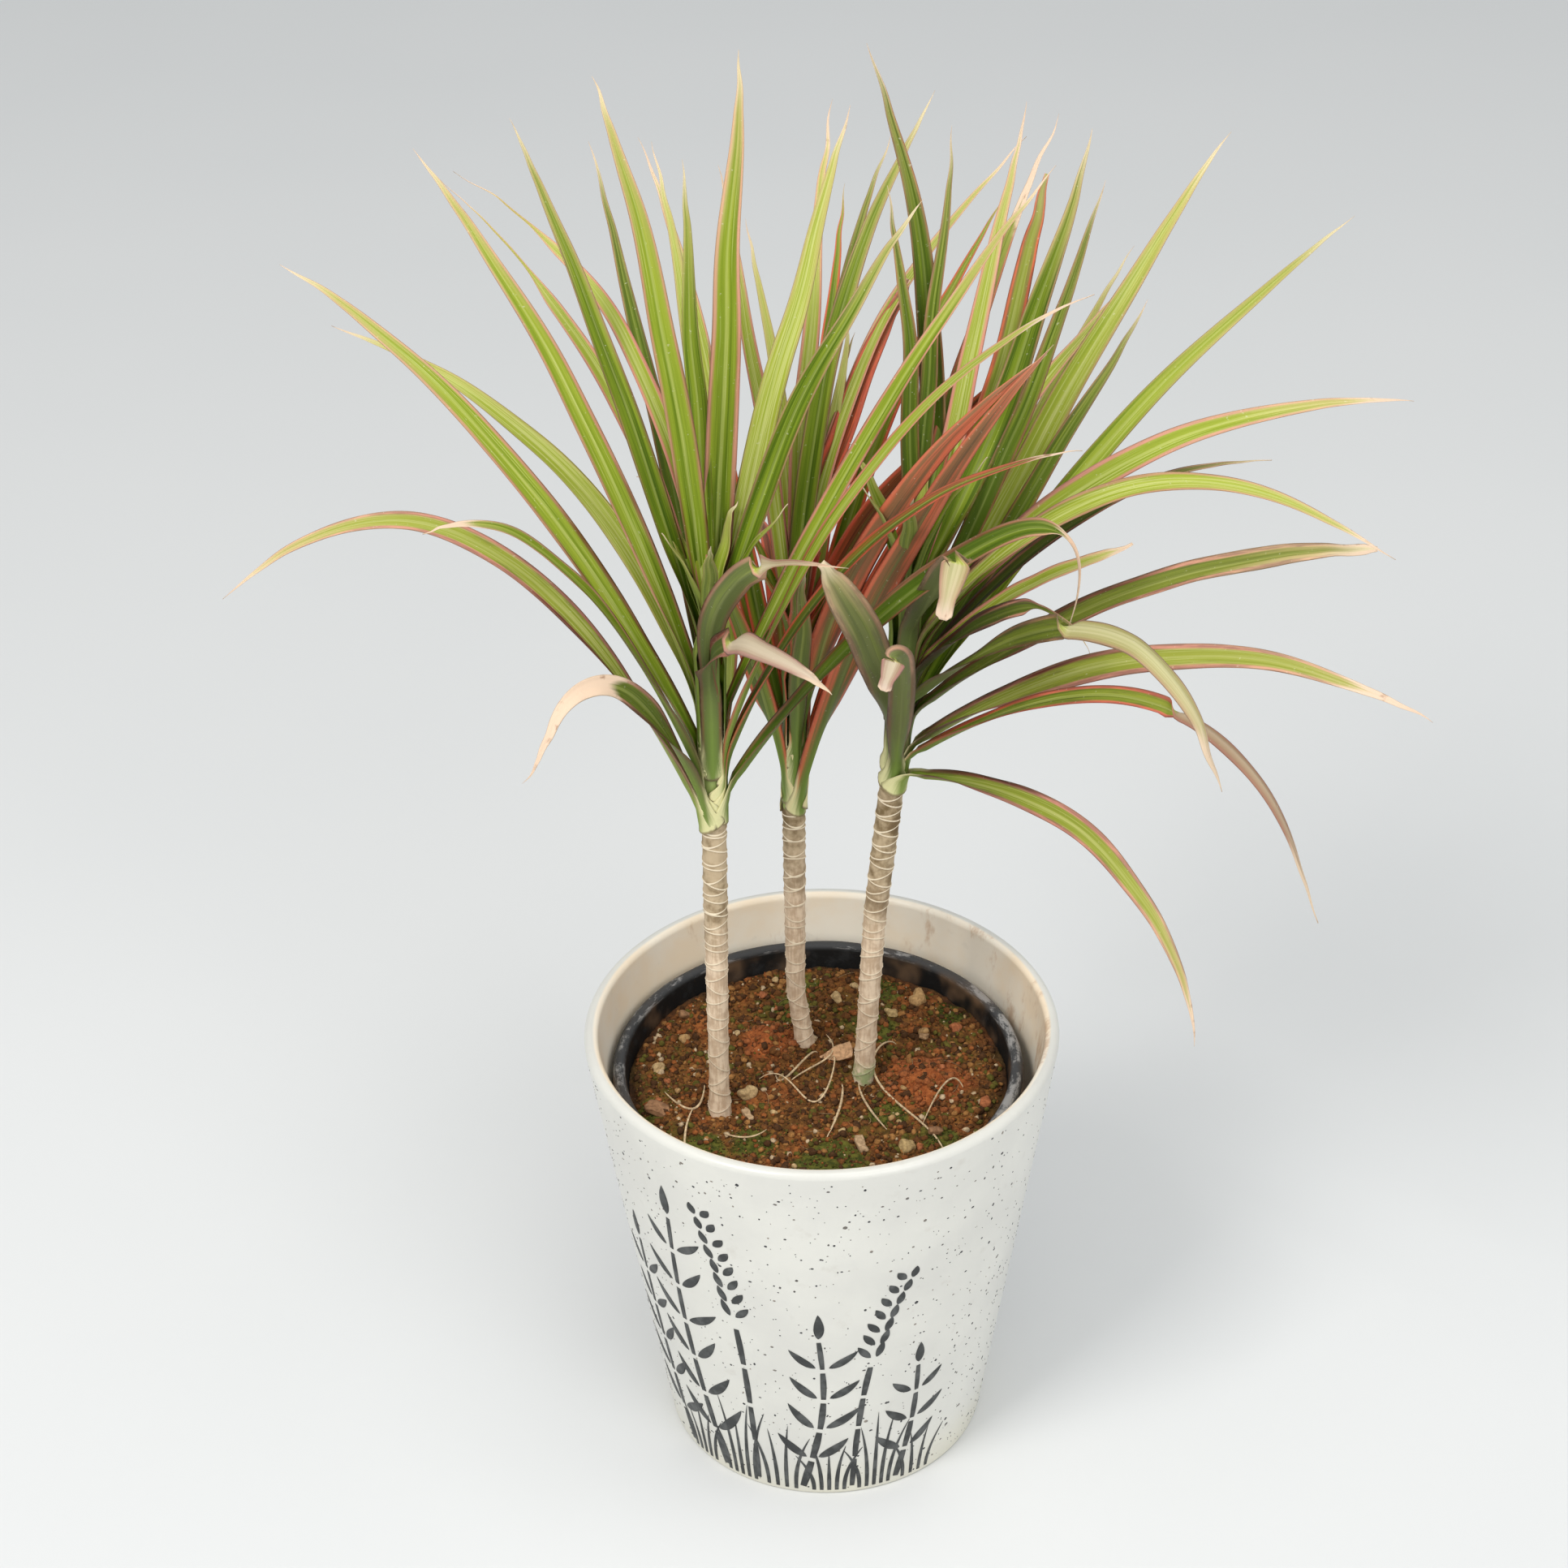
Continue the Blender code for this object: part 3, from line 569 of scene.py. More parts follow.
def cane_finish():
    finish = Finish("cane_bark_with_scars", roughness=0.75, specular_ior_level=0.3)
    scar, tone, moss = finish.split(finish.attribute("cane_marks"))
    place = finish.object_place()
    grain = finish.noise(place, 260, 4)
    patch = finish.noise(place, 60, 3)
    x, y, z = finish.split(place)
    wrinkle = finish.noise(finish.vector(x * 900, y * 900, z * 110), 1.0, 3)
    low = finish.mix(*LOW_BARK, finish.ramp(grain * 0.6 + wrinkle * 0.5, 0.42, 0.66))
    high = finish.mix(*HIGH_BARK, finish.ramp(grain * 0.5 + patch * 0.7, 0.52, 0.74))
    # Painted shade: a dark band on both sides of each scar ring.
    scar_shade = finish.ramp(0.35 - scar, 0.1, 0.34) * finish.ramp(scar, 0.02, 0.2)
    finish.colour(finish.layers(
        low,
        (high, finish.ramp(tone + (patch - 0.5) * 0.9, 0.2, 1.1)),
        (BARK_STAIN, finish.ramp(patch, 0.60, 0.74) * (0.1 + tone * 0.5)),
        (SCAR_PAINTED_SHADE, scar_shade),
        (SCAR_CREAM, finish.ramp(scar, 0.30, 0.70)),
        (SHOOT_GREEN, finish.ramp(tone, 1.3, 1.8)),
        (BARK_MOSS, moss * finish.ramp(grain, 0.3, 0.6) * 0.85)))
    finish.bump(grain + wrinkle, 0.4, 0.2 * MM)
    return finish.material


def glaze_finish():
    """The cream glaze, yellower at the foot; inside, a stained peach cream, lightened as painted bounce light.
    """
    finish = Finish("cream_glaze", roughness=0.3, coat_weight=0.25, coat_roughness=0.15)
    place = finish.object_place()
    x, y, z = finish.split(place)
    radius = (x * x + y * y) ** 0.5
    wall = (POT_RIM_RADIUS - POT_FOOT_RADIUS) / POT_HEIGHT
    inner = finish.ramp(POT_FOOT_RADIUS + z * wall - radius, 0.0032, 0.0045)
    cloud = finish.noise(place, 26, 4)
    fine = finish.noise(place, 420, 3)
    stain = finish.noise(finish.vector(x * 60, y * 60, z * 26), 1.0, 5, 0.7) + x * 0.9
    # Painted light: the inside glaze is its peach cream, lightened to stand in for light bounced inside the
    # pot.
    inner_tint_and_light = finish.mix(*INNER_GLAZE_AND_PAINTED_LIGHT, finish.ramp(cloud, 0.35, 0.65))
    finish.colour(finish.layers(
        finish.mix(*GLAZE, finish.ramp(cloud, 0.3, 0.7)),
        (GLAZE_YELLOWED, finish.ramp(0.03 - z + (cloud - 0.5) * 0.03, 0.0, 0.04) * 0.45),
        (finish.mix(inner_tint_and_light, INNER_STAIN, finish.ramp(stain, 0.58, 0.74) * 0.6), inner),
        (GRIME, finish.ramp(finish.noise(place, 90, 4), 0.62, 0.78) * 0.18)))
    finish.roughness(0.27 + fine * 0.08 + inner * 0.25)
    finish.bump(fine + cloud, 0.12, 0.3 * MM)
    return finish.material


def liner_finish():
    finish = Finish("black_nursery_plastic", roughness=0.6, specular_ior_level=0.25)
    place = finish.object_place()
    x, y, z = finish.split(place)
    scuffs = finish.ramp(finish.noise(place, 120, 5, 0.7), 0.50, 0.70)
    on_lip = finish.ramp(z, LINER_RIM_HEIGHT - 3 * MM, LINER_RIM_HEIGHT - 0.5 * MM)
    dust = finish.ramp(finish.noise(place, 34, 3), 0.50, 0.72)
    marks = finish.ramp(finish.noise(finish.vector(x * 40, y * 40, z * 300), 1.0, 5, 0.75), 0.50, 0.60)
    finish.colour(finish.layers(
        PLASTIC_BLACK,
        (LIP_GREY, on_lip * 0.8 + scuffs * 0.2),
        (SCUFF_GREY, marks * on_lip * 0.7),
        (SOIL_DUST, dust * (1 - on_lip * 0.8) * 0.6)))
    finish.roughness(0.55 + scuffs * 0.25)
    finish.bump(scuffs + finish.noise(place, 300, 3), 0.35, 0.3 * MM)
    return finish.material


def soil_finish():
    finish = Finish("red_brown_soil", roughness=0.95, specular_ior_level=0.2)
    moss, red, wallside_dark = finish.split(finish.attribute("soil_marks"))
    place = finish.object_place()
    grain = finish.noise(place, 330, 5, 0.7)
    patch = finish.noise(place, 70, 4)
    broad = finish.noise(place, 34, 3)
    rusty = finish.mix(*RUSTY_EARTH, finish.ramp(grain, 0.3, 0.7))
    mossy = finish.mix(*MOSS, finish.ramp(grain, 0.35, 0.65))
    finish.colour(finish.layers(
        finish.mix(*EARTH, finish.ramp(grain, 0.35, 0.68)),
        (rusty, finish.ramp(broad, 0.50, 0.66) * 0.6),
        (OLIVE_EARTH, finish.ramp(1 - broad, 0.50, 0.66) * 0.65),
        (rusty, finish.ramp(red + (patch - 0.5) * 1.2, 0.25, 0.85)),
        (WALLSIDE_DARK_EARTH, finish.ramp(wallside_dark + (patch - 0.5) * 0.8, 0.35, 1.0) * 0.8),
        (mossy, finish.ramp(moss + (patch - 0.5) * 1.5, 0.35, 0.85)),
        (GRIT, finish.ramp(finish.noise(place, 700, 2), 0.70, 0.78) * 0.6)))
    finish.bump(grain, 0.9, 0.8 * MM)
    return finish.material


def tinted_finish(name, roughness, grain_size, grain_depth):
    """A finish for joined small pieces that each carry their own colour."""
    finish = Finish(name, roughness=roughness, specular_ior_level=0.25)
    grain = finish.noise(finish.object_place(), 1 / grain_size, 3)
    tint = finish.attribute("tint")
    darker = finish.node("ShaderNodeMix", {"data_type": "RGBA", "blend_type": "MULTIPLY"},
                         {0: 1.0, 6: tint, 7: GRAIN_SHADE})
    finish.colour(finish.mix(tint, Amount(finish, darker.outputs[2]), finish.ramp(grain, 0.35, 0.65)))
    finish.bump(grain, 0.6, grain_depth)
    return finish.material


def charcoal_finish():
    finish = Finish("charcoal_stencil", roughness=0.5, specular_ior_level=0.35)
    patch = finish.noise(finish.object_place(), 150, 4)
    finish.colour(finish.mix(*CHARCOAL, finish.ramp(patch, 0.4, 0.68)))
    finish.bump(patch, 0.1, 0.2 * MM)
    return finish.material


def fleck_finish():
    finish = Finish("dark_glaze_fleck", roughness=0.4)
    tone = finish.split(finish.attribute("tone"))[0]
    grain = finish.noise(finish.object_place(), 900, 2)
    colour = finish.mix(*FLECK, finish.ramp(tone, 0.45, 1.0))
    finish.colour(finish.mix(colour, FLECK_GREY, finish.ramp(grain, 0.5, 0.7) * 0.5))
    return finish.material


def floor_finish():
    finish = Finish("pale_floor", roughness=0.85)
    finish.colour(finish.mix(*FLOOR, finish.noise(finish.object_place(), 3, 2)))
    return finish.material


def piece(name, shape, finish, slot, nodes=()):
    """A finished mesh as an object of the plant, in place of the solids that it stands for."""
    mesh = bpy.data.meshes.new(name)
    shape.to_mesh(mesh)
    shape.free()
    mesh.materials.append(finish)
    mesh.shade_smooth()
    item = bpy.data.objects.new(name, mesh)
    bpy.context.scene.collection.objects.link(item)
    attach(item, "root")
    if nodes:
        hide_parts(*nodes)
    return item


def marked_shape(mark):
    """An empty mesh whose vertices carry a mark, such as a colour, and the layer that holds it."""
    shape = bmesh.new()
    return shape, shape.verts.layers.float_vector.new(mark)


def across_strip(around):
    """From -1 to 1 and back again, on the way round a flat strip's skin."""
    return around * 4 - 1 if around < 0.5 else 3 - around * 4


def heading(places, index):
    """The way that a line of places runs at one of them."""
    return (places[min(index + 1, len(places) - 1)] - places[max(index - 1, 0)]).normalized()


def rounds(shape, around, along, place, strip=(0, 1)):
    """A closed skin from a grid that is rolled up. place gives a vertex its position from two shares.

    The grid's own map becomes one strip of the piece's map, from the first to the second share of its width.
    """
    chart = shape.loops.layers.uv.get("OFBake") or shape.loops.layers.uv.new("OFBake")
    made = bmesh.ops.create_grid(shape, x_segments=around, y_segments=along, size=1, calc_uvs=True)["verts"]
    faces = {face for vertex in made for face in vertex.link_faces}
    for face in faces:
        for loop in face.loops:
            loop[chart].uv.x = blend(strip[0], strip[1], loop[chart].uv.x)
    for vertex in made:
        vertex.co = place(vertex, (vertex.co.x + 1) / 2, (vertex.co.y + 1) / 2)
    bmesh.ops.remove_doubles(shape, verts=made, dist=0.5e-6)
    kept = [vertex for vertex in made if vertex.is_valid]
    edges = {edge for vertex in kept for edge in vertex.link_edges}
    open_edges = [edge for edge in edges if edge.is_boundary]
    bmesh.ops.holes_fill(shape, edges=open_edges, sides=0)
    bmesh.ops.recalc_face_normals(shape, faces=list({face for vertex in kept for face in vertex.link_faces}))
    return kept


def outward(azimuth):
    return Vector((cos(radians(azimuth)), sin(radians(azimuth)), 0))


def cane_point(cane, height):
    """The cane's centre at a height in mm, in metres."""
    for low, high in zip(cane.course, cane.course[1:]):
        if height <= high[0]:
            break
    share = (height - low[0]) / (high[0] - low[0])
    x, y = (low[axis] + (high[axis] - low[axis]) * share for axis in (1, 2))
    return Vector((x, y, height)) * MM


def cane_radius(cane, height):
    """The cane's radius at a height in mm: it tapers only inside the leafy shoot."""
    top = cane.course[-1][0]
    share = max(0, (height - cane.first_leaf) / (top - cane.first_leaf))
    return cane.radius * MM + (CANE_TIP_RADIUS - cane.radius * MM) * share


def curve_through(points, share):
    """The place at a share of the way along the smooth curve through evenly timed points."""
    time = share * (len(points) - 1)
    place = Vector()
    for index, point in enumerate(points):
        weight = 1
        for other in range(len(points)):
            if other != index:
                weight *= (time - other) / (index - other)
        place += point * weight
    return place


def folds_at_knee(leaf):
    return leaf.crease and leaf.knee


def leaf_line(leaf, foot):
    """The blade's centre line, from its foot to its tip."""
    route = [leaf.middle, leaf.knee, leaf.tip] if leaf.knee else [leaf.middle, leaf.tip]
    points = [foot]
    for index, (reach, height) in enumerate(route):
        azimuth = leaf.azimuth + leaf.turn * (index + 1) / len(route)
        points.append(foot + (outward(azimuth) * reach + Vector((0, 0, height))) * MM)
    shares = [step / BLADE_STEPS for step in range(BLADE_STEPS + 1)]
    if folds_at_knee(leaf):
        rise = [curve_through(points[:3], share / leaf.crease) for share in shares if share <= leaf.crease]
        fall = [blend(points[2], points[3], (share - leaf.crease) / (1 - leaf.crease)) for share in shares
                if share > leaf.crease]
        return rise + fall
    return [curve_through(points, share) for share in shares]


def leaf_width(leaf, share, distance):
    """Half the blade's width at a share of the way along it, and at a distance from its foot."""
    full = LEAF_FOOT_SHARE + (1 - LEAF_FOOT_SHARE) * ramp(distance, 0, LEAF_FULL_WIDTH_AFTER)
    power = CREASED_TIP_POWER if leaf.crease else BLUNT_TIP_POWER if leaf.blunt else LEAF_TIP_POWER
    full *= 1 - max(0, (share - 0.3) / 0.7) ** power
    if leaf.shrivel:
        full *= 1 - 0.6 * ramp(share, leaf.shrivel - 0.06, leaf.shrivel + 0.04)
    if leaf.crease:
        full *= 1 - 0.3 * exp(-((share - leaf.crease) / 0.012) ** 2)
    if leaf.blunt:
        full = max(full, 0.5) * (1 - ramp(share, leaf.blunt, 1) * 0.55)
    return max(full, 0.012) * leaf.width * leaf.broad * MM / 2


Station = namedtuple("Station", "place across normal share distance half_width")


def wander(leaf, places, seed):
    """The centre line with a slight wave, and a curl in its dry tip."""
    across = outward(leaf.azimuth + 90)
    curl = (1 + 6 * leaf.look.dry) * MM
    calm = 0.15 if folds_at_knee(leaf) else 1
    for index, place in enumerate(places):
        share = index / BLADE_STEPS
        wave = noise.noise(Vector((share * 4, seed * 2.7, 0))) * 2.2 * MM * ramp(share, 0.1, 0.6)
        twist = noise.noise(Vector((share * 16, seed * 5.1, 4))) * curl * 1.4 * ramp(share, 0.8, 1)
        lift = noise.noise(Vector((share * 5, seed * 1.9, 8))) * 1.6 * MM * ramp(share, 0.1, 0.6)
        yield place + (across * (wave + twist) + Vector((0, 0, lift))) * calm


def leaf_stations(leaf, foot, seed):
    """The blade from its foot to its tip: where it is and how its face lies at each station."""
    places = list(wander(leaf, leaf_line(leaf, foot), seed))
    steps = [heading(places, index) for index in range(BLADE_STEPS + 1)]
    flat = [outward(leaf.azimuth + 90 + leaf.turn * index / BLADE_STEPS) for index in range(BLADE_STEPS + 1)]
    middle = BLADE_STEPS // 2
    towards = TOWARDS_VIEWER if steps[middle].cross(flat[middle]).dot(TOWARDS_VIEWER) > 0 else -TOWARDS_VIEWER
    rows = []
    distance = 0
    for index, place in enumerate(places):
        share = index / BLADE_STEPS
        onward = steps[index]
        across = (flat[index] - onward * flat[index].dot(onward)).normalized()
        normal = onward.cross(across)
        aim = -towards if folds_at_knee(leaf) and share > leaf.crease else towards
        facing = aim - onward * aim.dot(onward)
        angle = atan2(facing.dot(-across), facing.dot(normal)) * min(1, facing.length / 0.5)
        roll = angle * leaf.face * ramp(share, 0.04, 0.4)
        if leaf.crease and not leaf.knee:
            roll += radians(150) * ramp(share, leaf.crease - 0.02, leaf.crease + 0.02)
        turned = Matrix.Rotation(roll, 3, onward)
        distance += (place - places[max(index - 1, 0)]).length
        half_width = leaf_width(leaf, share, distance)
        rows.append(Station(place, turned @ across, turned @ normal, share, distance, half_width))
    return rows


def blade_layer(shape, name):
    return shape.verts.layers.float_vector.get(name) or shape.verts.layers.float_vector.new(name)


def add_blade(shape, leaf, foot, stem, drop, seed, strip=(0, 1)):
    """One leaf with its two faces: its sheath clasps the stem, and its blade runs out as a shallow channel.

    stem gives the centre of the leafy stem and its radius beside the sheath at a height.
    """
    stations = leaf_stations(leaf, foot, seed)
    places, looks, states, sides = (blade_layer(shape, name) for name in
                                    ("leaf_place", "leaf_look", "leaf_state", "leaf_side"))
    look = leaf.look
    rows = SHEATH_STEPS + BLADE_STEPS

    def on_blade(vertex, around, along):
        row = round(along * rows)
        station = stations[max(row - SHEATH_STEPS, 0)]
        distance = station.distance - drop * max(0, 1 - row / SHEATH_STEPS)
        across = across_strip(around)
        edge = abs(across)
        side = 0 if edge > 0.999 else 1 if around < 0.5 else -1
        half = station.half_width
        cup = 0.75 - 0.5 * ramp(distance, 0.01, 0.06) - 0.12 * ramp(station.share, 0.4, 1)
        if leaf.shrivel:
            cup += 0.9 * ramp(station.share, leaf.shrivel - 0.05, leaf.shrivel + 0.05)
        wave = noise.noise(Vector((station.share * 7, seed * 3.1, across))) * 0.2 * edge
        rise = cup * half * edge ** 1.6 + wave * half - 0.15 * MM * exp(-(across / 0.12) ** 2)
        thick = BLADE_THICKNESS * (1 - 0.75 * edge ** 2) * (1.5 - 0.9 * station.share)
        free = (station.place + station.across * across * half * (1 - 0.25 * cup)
                + station.normal * (rise + side * thick / 2))
        collar = ramp(distance + drop, 9 * MM, 0)
        height = foot.z - CLASP_DROP + distance + (edge ** 2 * 4 - 2.5) * MM * collar
        centre, radius = stem(height)
        wrap = blend(half / radius * 180 / pi * 1.1, CLASP_WRAP, ramp(distance + drop, 11 * MM, 1 * MM))
        spread = outward(leaf.azimuth + across * wrap)
        skin = 0.05 * MM if side > 0 else 0.55 * MM
        clasp = centre + spread * (radius + skin + max(distance, 0) * 0.12)
        vertex[places] = Vector((across, station.share, distance + drop))
        over = ramp(station.share, leaf.crease - 0.01, leaf.crease + 0.02) if leaf.crease else 0
        vertex[looks] = Vector((blend(look.pale, FLAP_PALE, over), look.blush, max(look.red - 0.1 * over, 0)))
        vertex[states] = Vector((look.age * (1 - 0.8 * over), look.dry, seed))
        vertex[sides] = Vector((1 if around < 0.5 else 0, 0, 0))
        return blend(clasp, free, ramp(distance, 0, CLASP_LENGTH))

    rounds(shape, 2 * BLADE_COLUMNS, rows, on_blade, strip)


def sheath_drop(cane, foot, share):
    """How far down the stem a leaf's sheath runs: the first to the crown's base, later ones less far."""
    return foot.z - blend(cane.first_leaf, cane.course[-1][0], SHEATH_STAGGER * share) * MM


def leafy_stem(cane, layers):
    """The centre and radius of the stem with the sheaths that lie inside one leaf's sheath."""
    base = cane.first_leaf * MM
    depth = SHEATH_DEPTH * (layers / (len(cane.leaves) + len(cane.heart) / 2)) ** 2.5

    def at(height):
        level = min(height / MM, cane.course[-1][0])
        centre = cane_point(cane, level)
        centre.z = height
        flare = max(height - base, 0) * SHEATH_FLARE
        return centre, cane_radius(cane, level) + depth + flare

    return at


def leaf_thickness(leaf):
    """The thickness of the solid leaf, which sets where its foot stands."""
    line = leaf_line(leaf, Vector())
    return sum((end - start).length for start, end in zip(line, line[1:])) / 85


def leaf_feet(cane):
    """Each single leaf and where its foot stands beside the stem."""
    top = cane.course[-1][0]
    for index, leaf in enumerate(cane.leaves):
        height = cane.first_leaf + (top - cane.first_leaf) * (index + 0.5) / len(cane.leaves)
        reach = cane_radius(cane, height) + CLEARANCE + leaf_thickness(leaf) / 2 * 0.45
        yield leaf, cane_point(cane, height) + outward(leaf.azimuth) * reach


def young_leaves(cane):
    """The short upright leaves round the growing tip, each a golden turn on from the last."""
    for index in range(cane.young):
        share = index / cane.young
        length = blend(*YOUNG_LEAF_LENGTHS, share)
        lean = radians(blend(*YOUNG_LEAF_LEANS, share))
        middle = length / 2 * sin(lean), length / 2 * cos(lean)
        tip = length * sin(lean + YOUNG_LEAF_DROOP), length * cos(lean + YOUNG_LEAF_DROOP)
        yield Leaf(YOUNG_LEAF_TURN * index, middle, tip, 0, YOUNG_LEAF_WIDTH, look=cane.young_look, face=0)


def heart_feet(cane):
    """Each leaf of the heart and its foot, close round the growing tip."""
    rows = (*cane.heart, *young_leaves(cane))
    base = cane_point(cane, cane.course[-1][0]) + Vector((0, 0, CLEARANCE))
    for index, leaf in enumerate(rows):
        rise = Vector((0, 0, HEART_HEIGHT * (0.2 + 0.5 * index / len(rows))))
        yield leaf, base + rise + outward(leaf.azimuth) * HEART_RADIUS * 0.4
    for height, leaf in cane.inner:
        yield leaf, cane_point(cane, height) + outward(leaf.azimuth) * cane_radius(cane, height)


def solid_names(nodes, cane, index):
    """The solids that a single leaf stands for: one, or two where the solid is split at its bend."""
    stem = f"leaf_{cane.side}_{index + 1:02d}"
    return [name for name in nodes if name == stem or name.startswith(stem + "_")]


def build_leaves(cane, finish, nodes):
    for index, (leaf, foot) in enumerate(leaf_feet(cane)):
        layers = len(cane.leaves) - index + len(cane.heart) / 2
        drop = sheath_drop(cane, foot, index / len(cane.leaves))
        shape = bmesh.new()
        add_blade(shape, leaf, foot, leafy_stem(cane, layers), drop, index + len(cane.side))
        piece(f"blade_{cane.side}_{index + 1:02d}", shape, finish, cane.slot, solid_names(nodes, cane, index))


def build_heart(cane, finish):
    rows = list(heart_feet(cane))
    shape = bmesh.new()
    for index, (leaf, foot) in enumerate(rows):
        strip = (index / len(rows), (index + 0.94) / len(rows))
        stem = leafy_stem(cane, (len(rows) - index) / 2)
        drop = min(sheath_drop(cane, foot, 1), foot.z - cane.first_leaf * MM)
        add_blade(shape, leaf, foot, stem, max(drop, 3 * MM), index + 40, strip)
    piece("heart_blades_" + cane.side, shape, finish, cane.slot, ["heart_" + cane.side])


def scar_rings(cane):
    """Each leaf scar as (height, lean, bearing): closer together near the crown, on alternate sides."""
    draw = random.Random("scars " + cane.side)
    height = cane.course[0][0] * MM + 3 * MM
    crown = cane.first_leaf * MM
    soil = SOIL_HEIGHT
    bearing = draw.uniform(0, 360)
    while height < crown + 12 * MM:
        share = ramp(height, soil + 20 * MM, crown - 30 * MM)
        spacing = blend(SCAR_SPACING_LOW, SCAR_SPACING_HIGH, share) * draw.uniform(0.75, 1.25)
        yield height, spacing * draw.uniform(0.15, 0.6), bearing
        height += spacing
        bearing += 180 + draw.uniform(-45, 45)


def build_cane(cane, finish):
    soil, top = cane.course[0][0] * MM, cane.course[-1][0] * MM
    foot = soil - CANE_SUNK
    stations = int((top - foot) / CANE_STATION)
    rings = list(scar_rings(cane))
    shape, marks = marked_shape("cane_marks")

    def on_cane(vertex, around, along):
        height = blend(foot, top, along)
        angle = around * 2 * pi
        scar = 0
        step = 0
        for level, lean, bearing in rings:
            away = height - level - lean * cos(angle - radians(bearing))
            if abs(away) < SCAR_SPACING_LOW:
                scar = max(scar, exp(-(away / SCAR_WIDTH) ** 2))
                step = max(step, exp(-max(away, 0) / (1.6 * MM)) if away > 0 else 0)
        centre = cane_point(cane, max(height, soil) / MM)
        centre.z = height
        flare = max(0, 1 - (height - soil) / CANE_FLARE_HEIGHT)
        radius = cane_radius(cane, height / MM) + (cane.foot_radius - cane.radius) * MM * flare
        radius *= blend(CANE_WAIST, 1, ramp(height, soil + 10 * MM, cane.first_leaf * MM - 15 * MM))
        lump = noise.noise(Vector((cos(angle) + cane.foot_radius, sin(angle), height / (9 * MM))))
        radius += scar * SCAR_RELIEF + step * 0.22 * MM + lump * 0.16 * MM
        leafy = cane.first_leaf * MM
        tone = ramp(height, soil + 45 * MM, soil + 125 * MM) + ramp(height, leafy - 2 * MM, leafy + 1 * MM)
        moss = (1 - ramp(height, soil + 4 * MM, soil + 11 * MM)) if cane.side == "right" else 0
        vertex[marks] = Vector((scar, tone, moss))
        if along in (0, 1):
            radius = max(radius - 1 * MM, 0)
        return centre + Vector((cos(angle), sin(angle), 0)) * radius

    rounds(shape, CANE_SIDES, stations, on_cane)
    piece("ringed_cane_" + cane.side, shape, finish, "cane_bark", ["cane_" + cane.side])


def turned(profile, steps):
    """A closed body turned round Z from (radius, height) points."""
    shape = bmesh.new()
    points = [shape.verts.new((radius, 0, height)) for radius, height in profile]
    edges = [shape.edges.new(pair) for pair in zip(points, points[1:])]
    bmesh.ops.spin(shape, geom=points + edges, axis=(0, 0, 1), cent=(0, 0, 0), steps=steps, angle=2 * pi,
                   use_merge=True)
    bmesh.ops.remove_doubles(shape, verts=shape.verts, dist=0.002 * MM)
    bmesh.ops.recalc_face_normals(shape, faces=shape.faces)
    return shape


def lip(outer_radius, inner_radius, top, points=12):
    """The rounded rim between two walls, from the inside over the top to the outside."""
    middle = (outer_radius + inner_radius) / 2
    half = (outer_radius - inner_radius) / 2
    angles = [pi - pi * step / (points + 1) for step in range(points + 2)]
    return [(middle + half * cos(angle), top - half + half * sin(angle)) for angle in angles]


def build_pot(finish):
    inner_foot = POT_FOOT_RADIUS - POT_WALL + (POT_RIM_RADIUS - POT_FOOT_RADIUS) * POT_FLOOR / POT_HEIGHT
    rim = lip(POT_RIM_RADIUS, POT_RIM_RADIUS - POT_WALL, POT_HEIGHT)
    angles = [pi / 2 * step / 4 for step in range(5)]
    foot_edge = [(POT_FOOT_RADIUS - POT_FOOT_EDGE * (1 - cos(angle)), POT_FOOT_EDGE * (1 - sin(angle)))
                 for angle in angles]
    inside = [(0, POT_FLOOR), (inner_foot, POT_FLOOR)]
    piece("glazed_pot", turned(inside + rim + foot_edge + [(0, 0)], POT_STEPS), finish, "pot_glaze", ["pot"])


def liner_radius(height):
    """Outer radius of the nursery pot's wall at a height."""
    share = (height - POT_FLOOR) / (LINER_RIM_HEIGHT - LINER_RIM_DEPTH - POT_FLOOR)
    return LINER_FOOT_RADIUS + (LINER_MOUTH_RADIUS + LINER_WALL - LINER_FOOT_RADIUS) * share


def build_liner(finish):
    floor = POT_FLOOR + CLEARANCE
    rim_foot = LINER_RIM_HEIGHT - LINER_RIM_DEPTH
    inside = [(0, floor + LINER_WALL), (LINER_FOOT_RADIUS - LINER_WALL, floor + LINER_WALL),
              (LINER_MOUTH_RADIUS, rim_foot)]
    rim = lip(LINER_RIM_RADIUS, LINER_MOUTH_RADIUS, LINER_RIM_HEIGHT, 7)
    outside = [(LINER_RIM_RADIUS, rim_foot), (LINER_MOUTH_RADIUS + LINER_WALL, rim_foot),
               (LINER_FOOT_RADIUS, floor), (0, floor)]
    shape = turned(inside + rim + outside, LINER_STEPS)
    for vertex in shape.verts:
        if vertex.co.z > rim_foot:
            wobble = noise.noise(vertex.co * 45) * 0.5 * MM
            vertex.co.z += wobble - 0.3 * MM
        vertex.co.x += LINER_SHIFT
    piece("nursery_pot", shape, finish, "liner_plastic", ["liner_pot"])


def near_patch(x, y, patches):
    """How deep in one of some round patches a place lies, from 0 at the edge to 1."""
    return max(ramp(1.3 - hypot(x - px, y - py) / radius, 0, 0.9) for px, py, radius, *_ in patches)


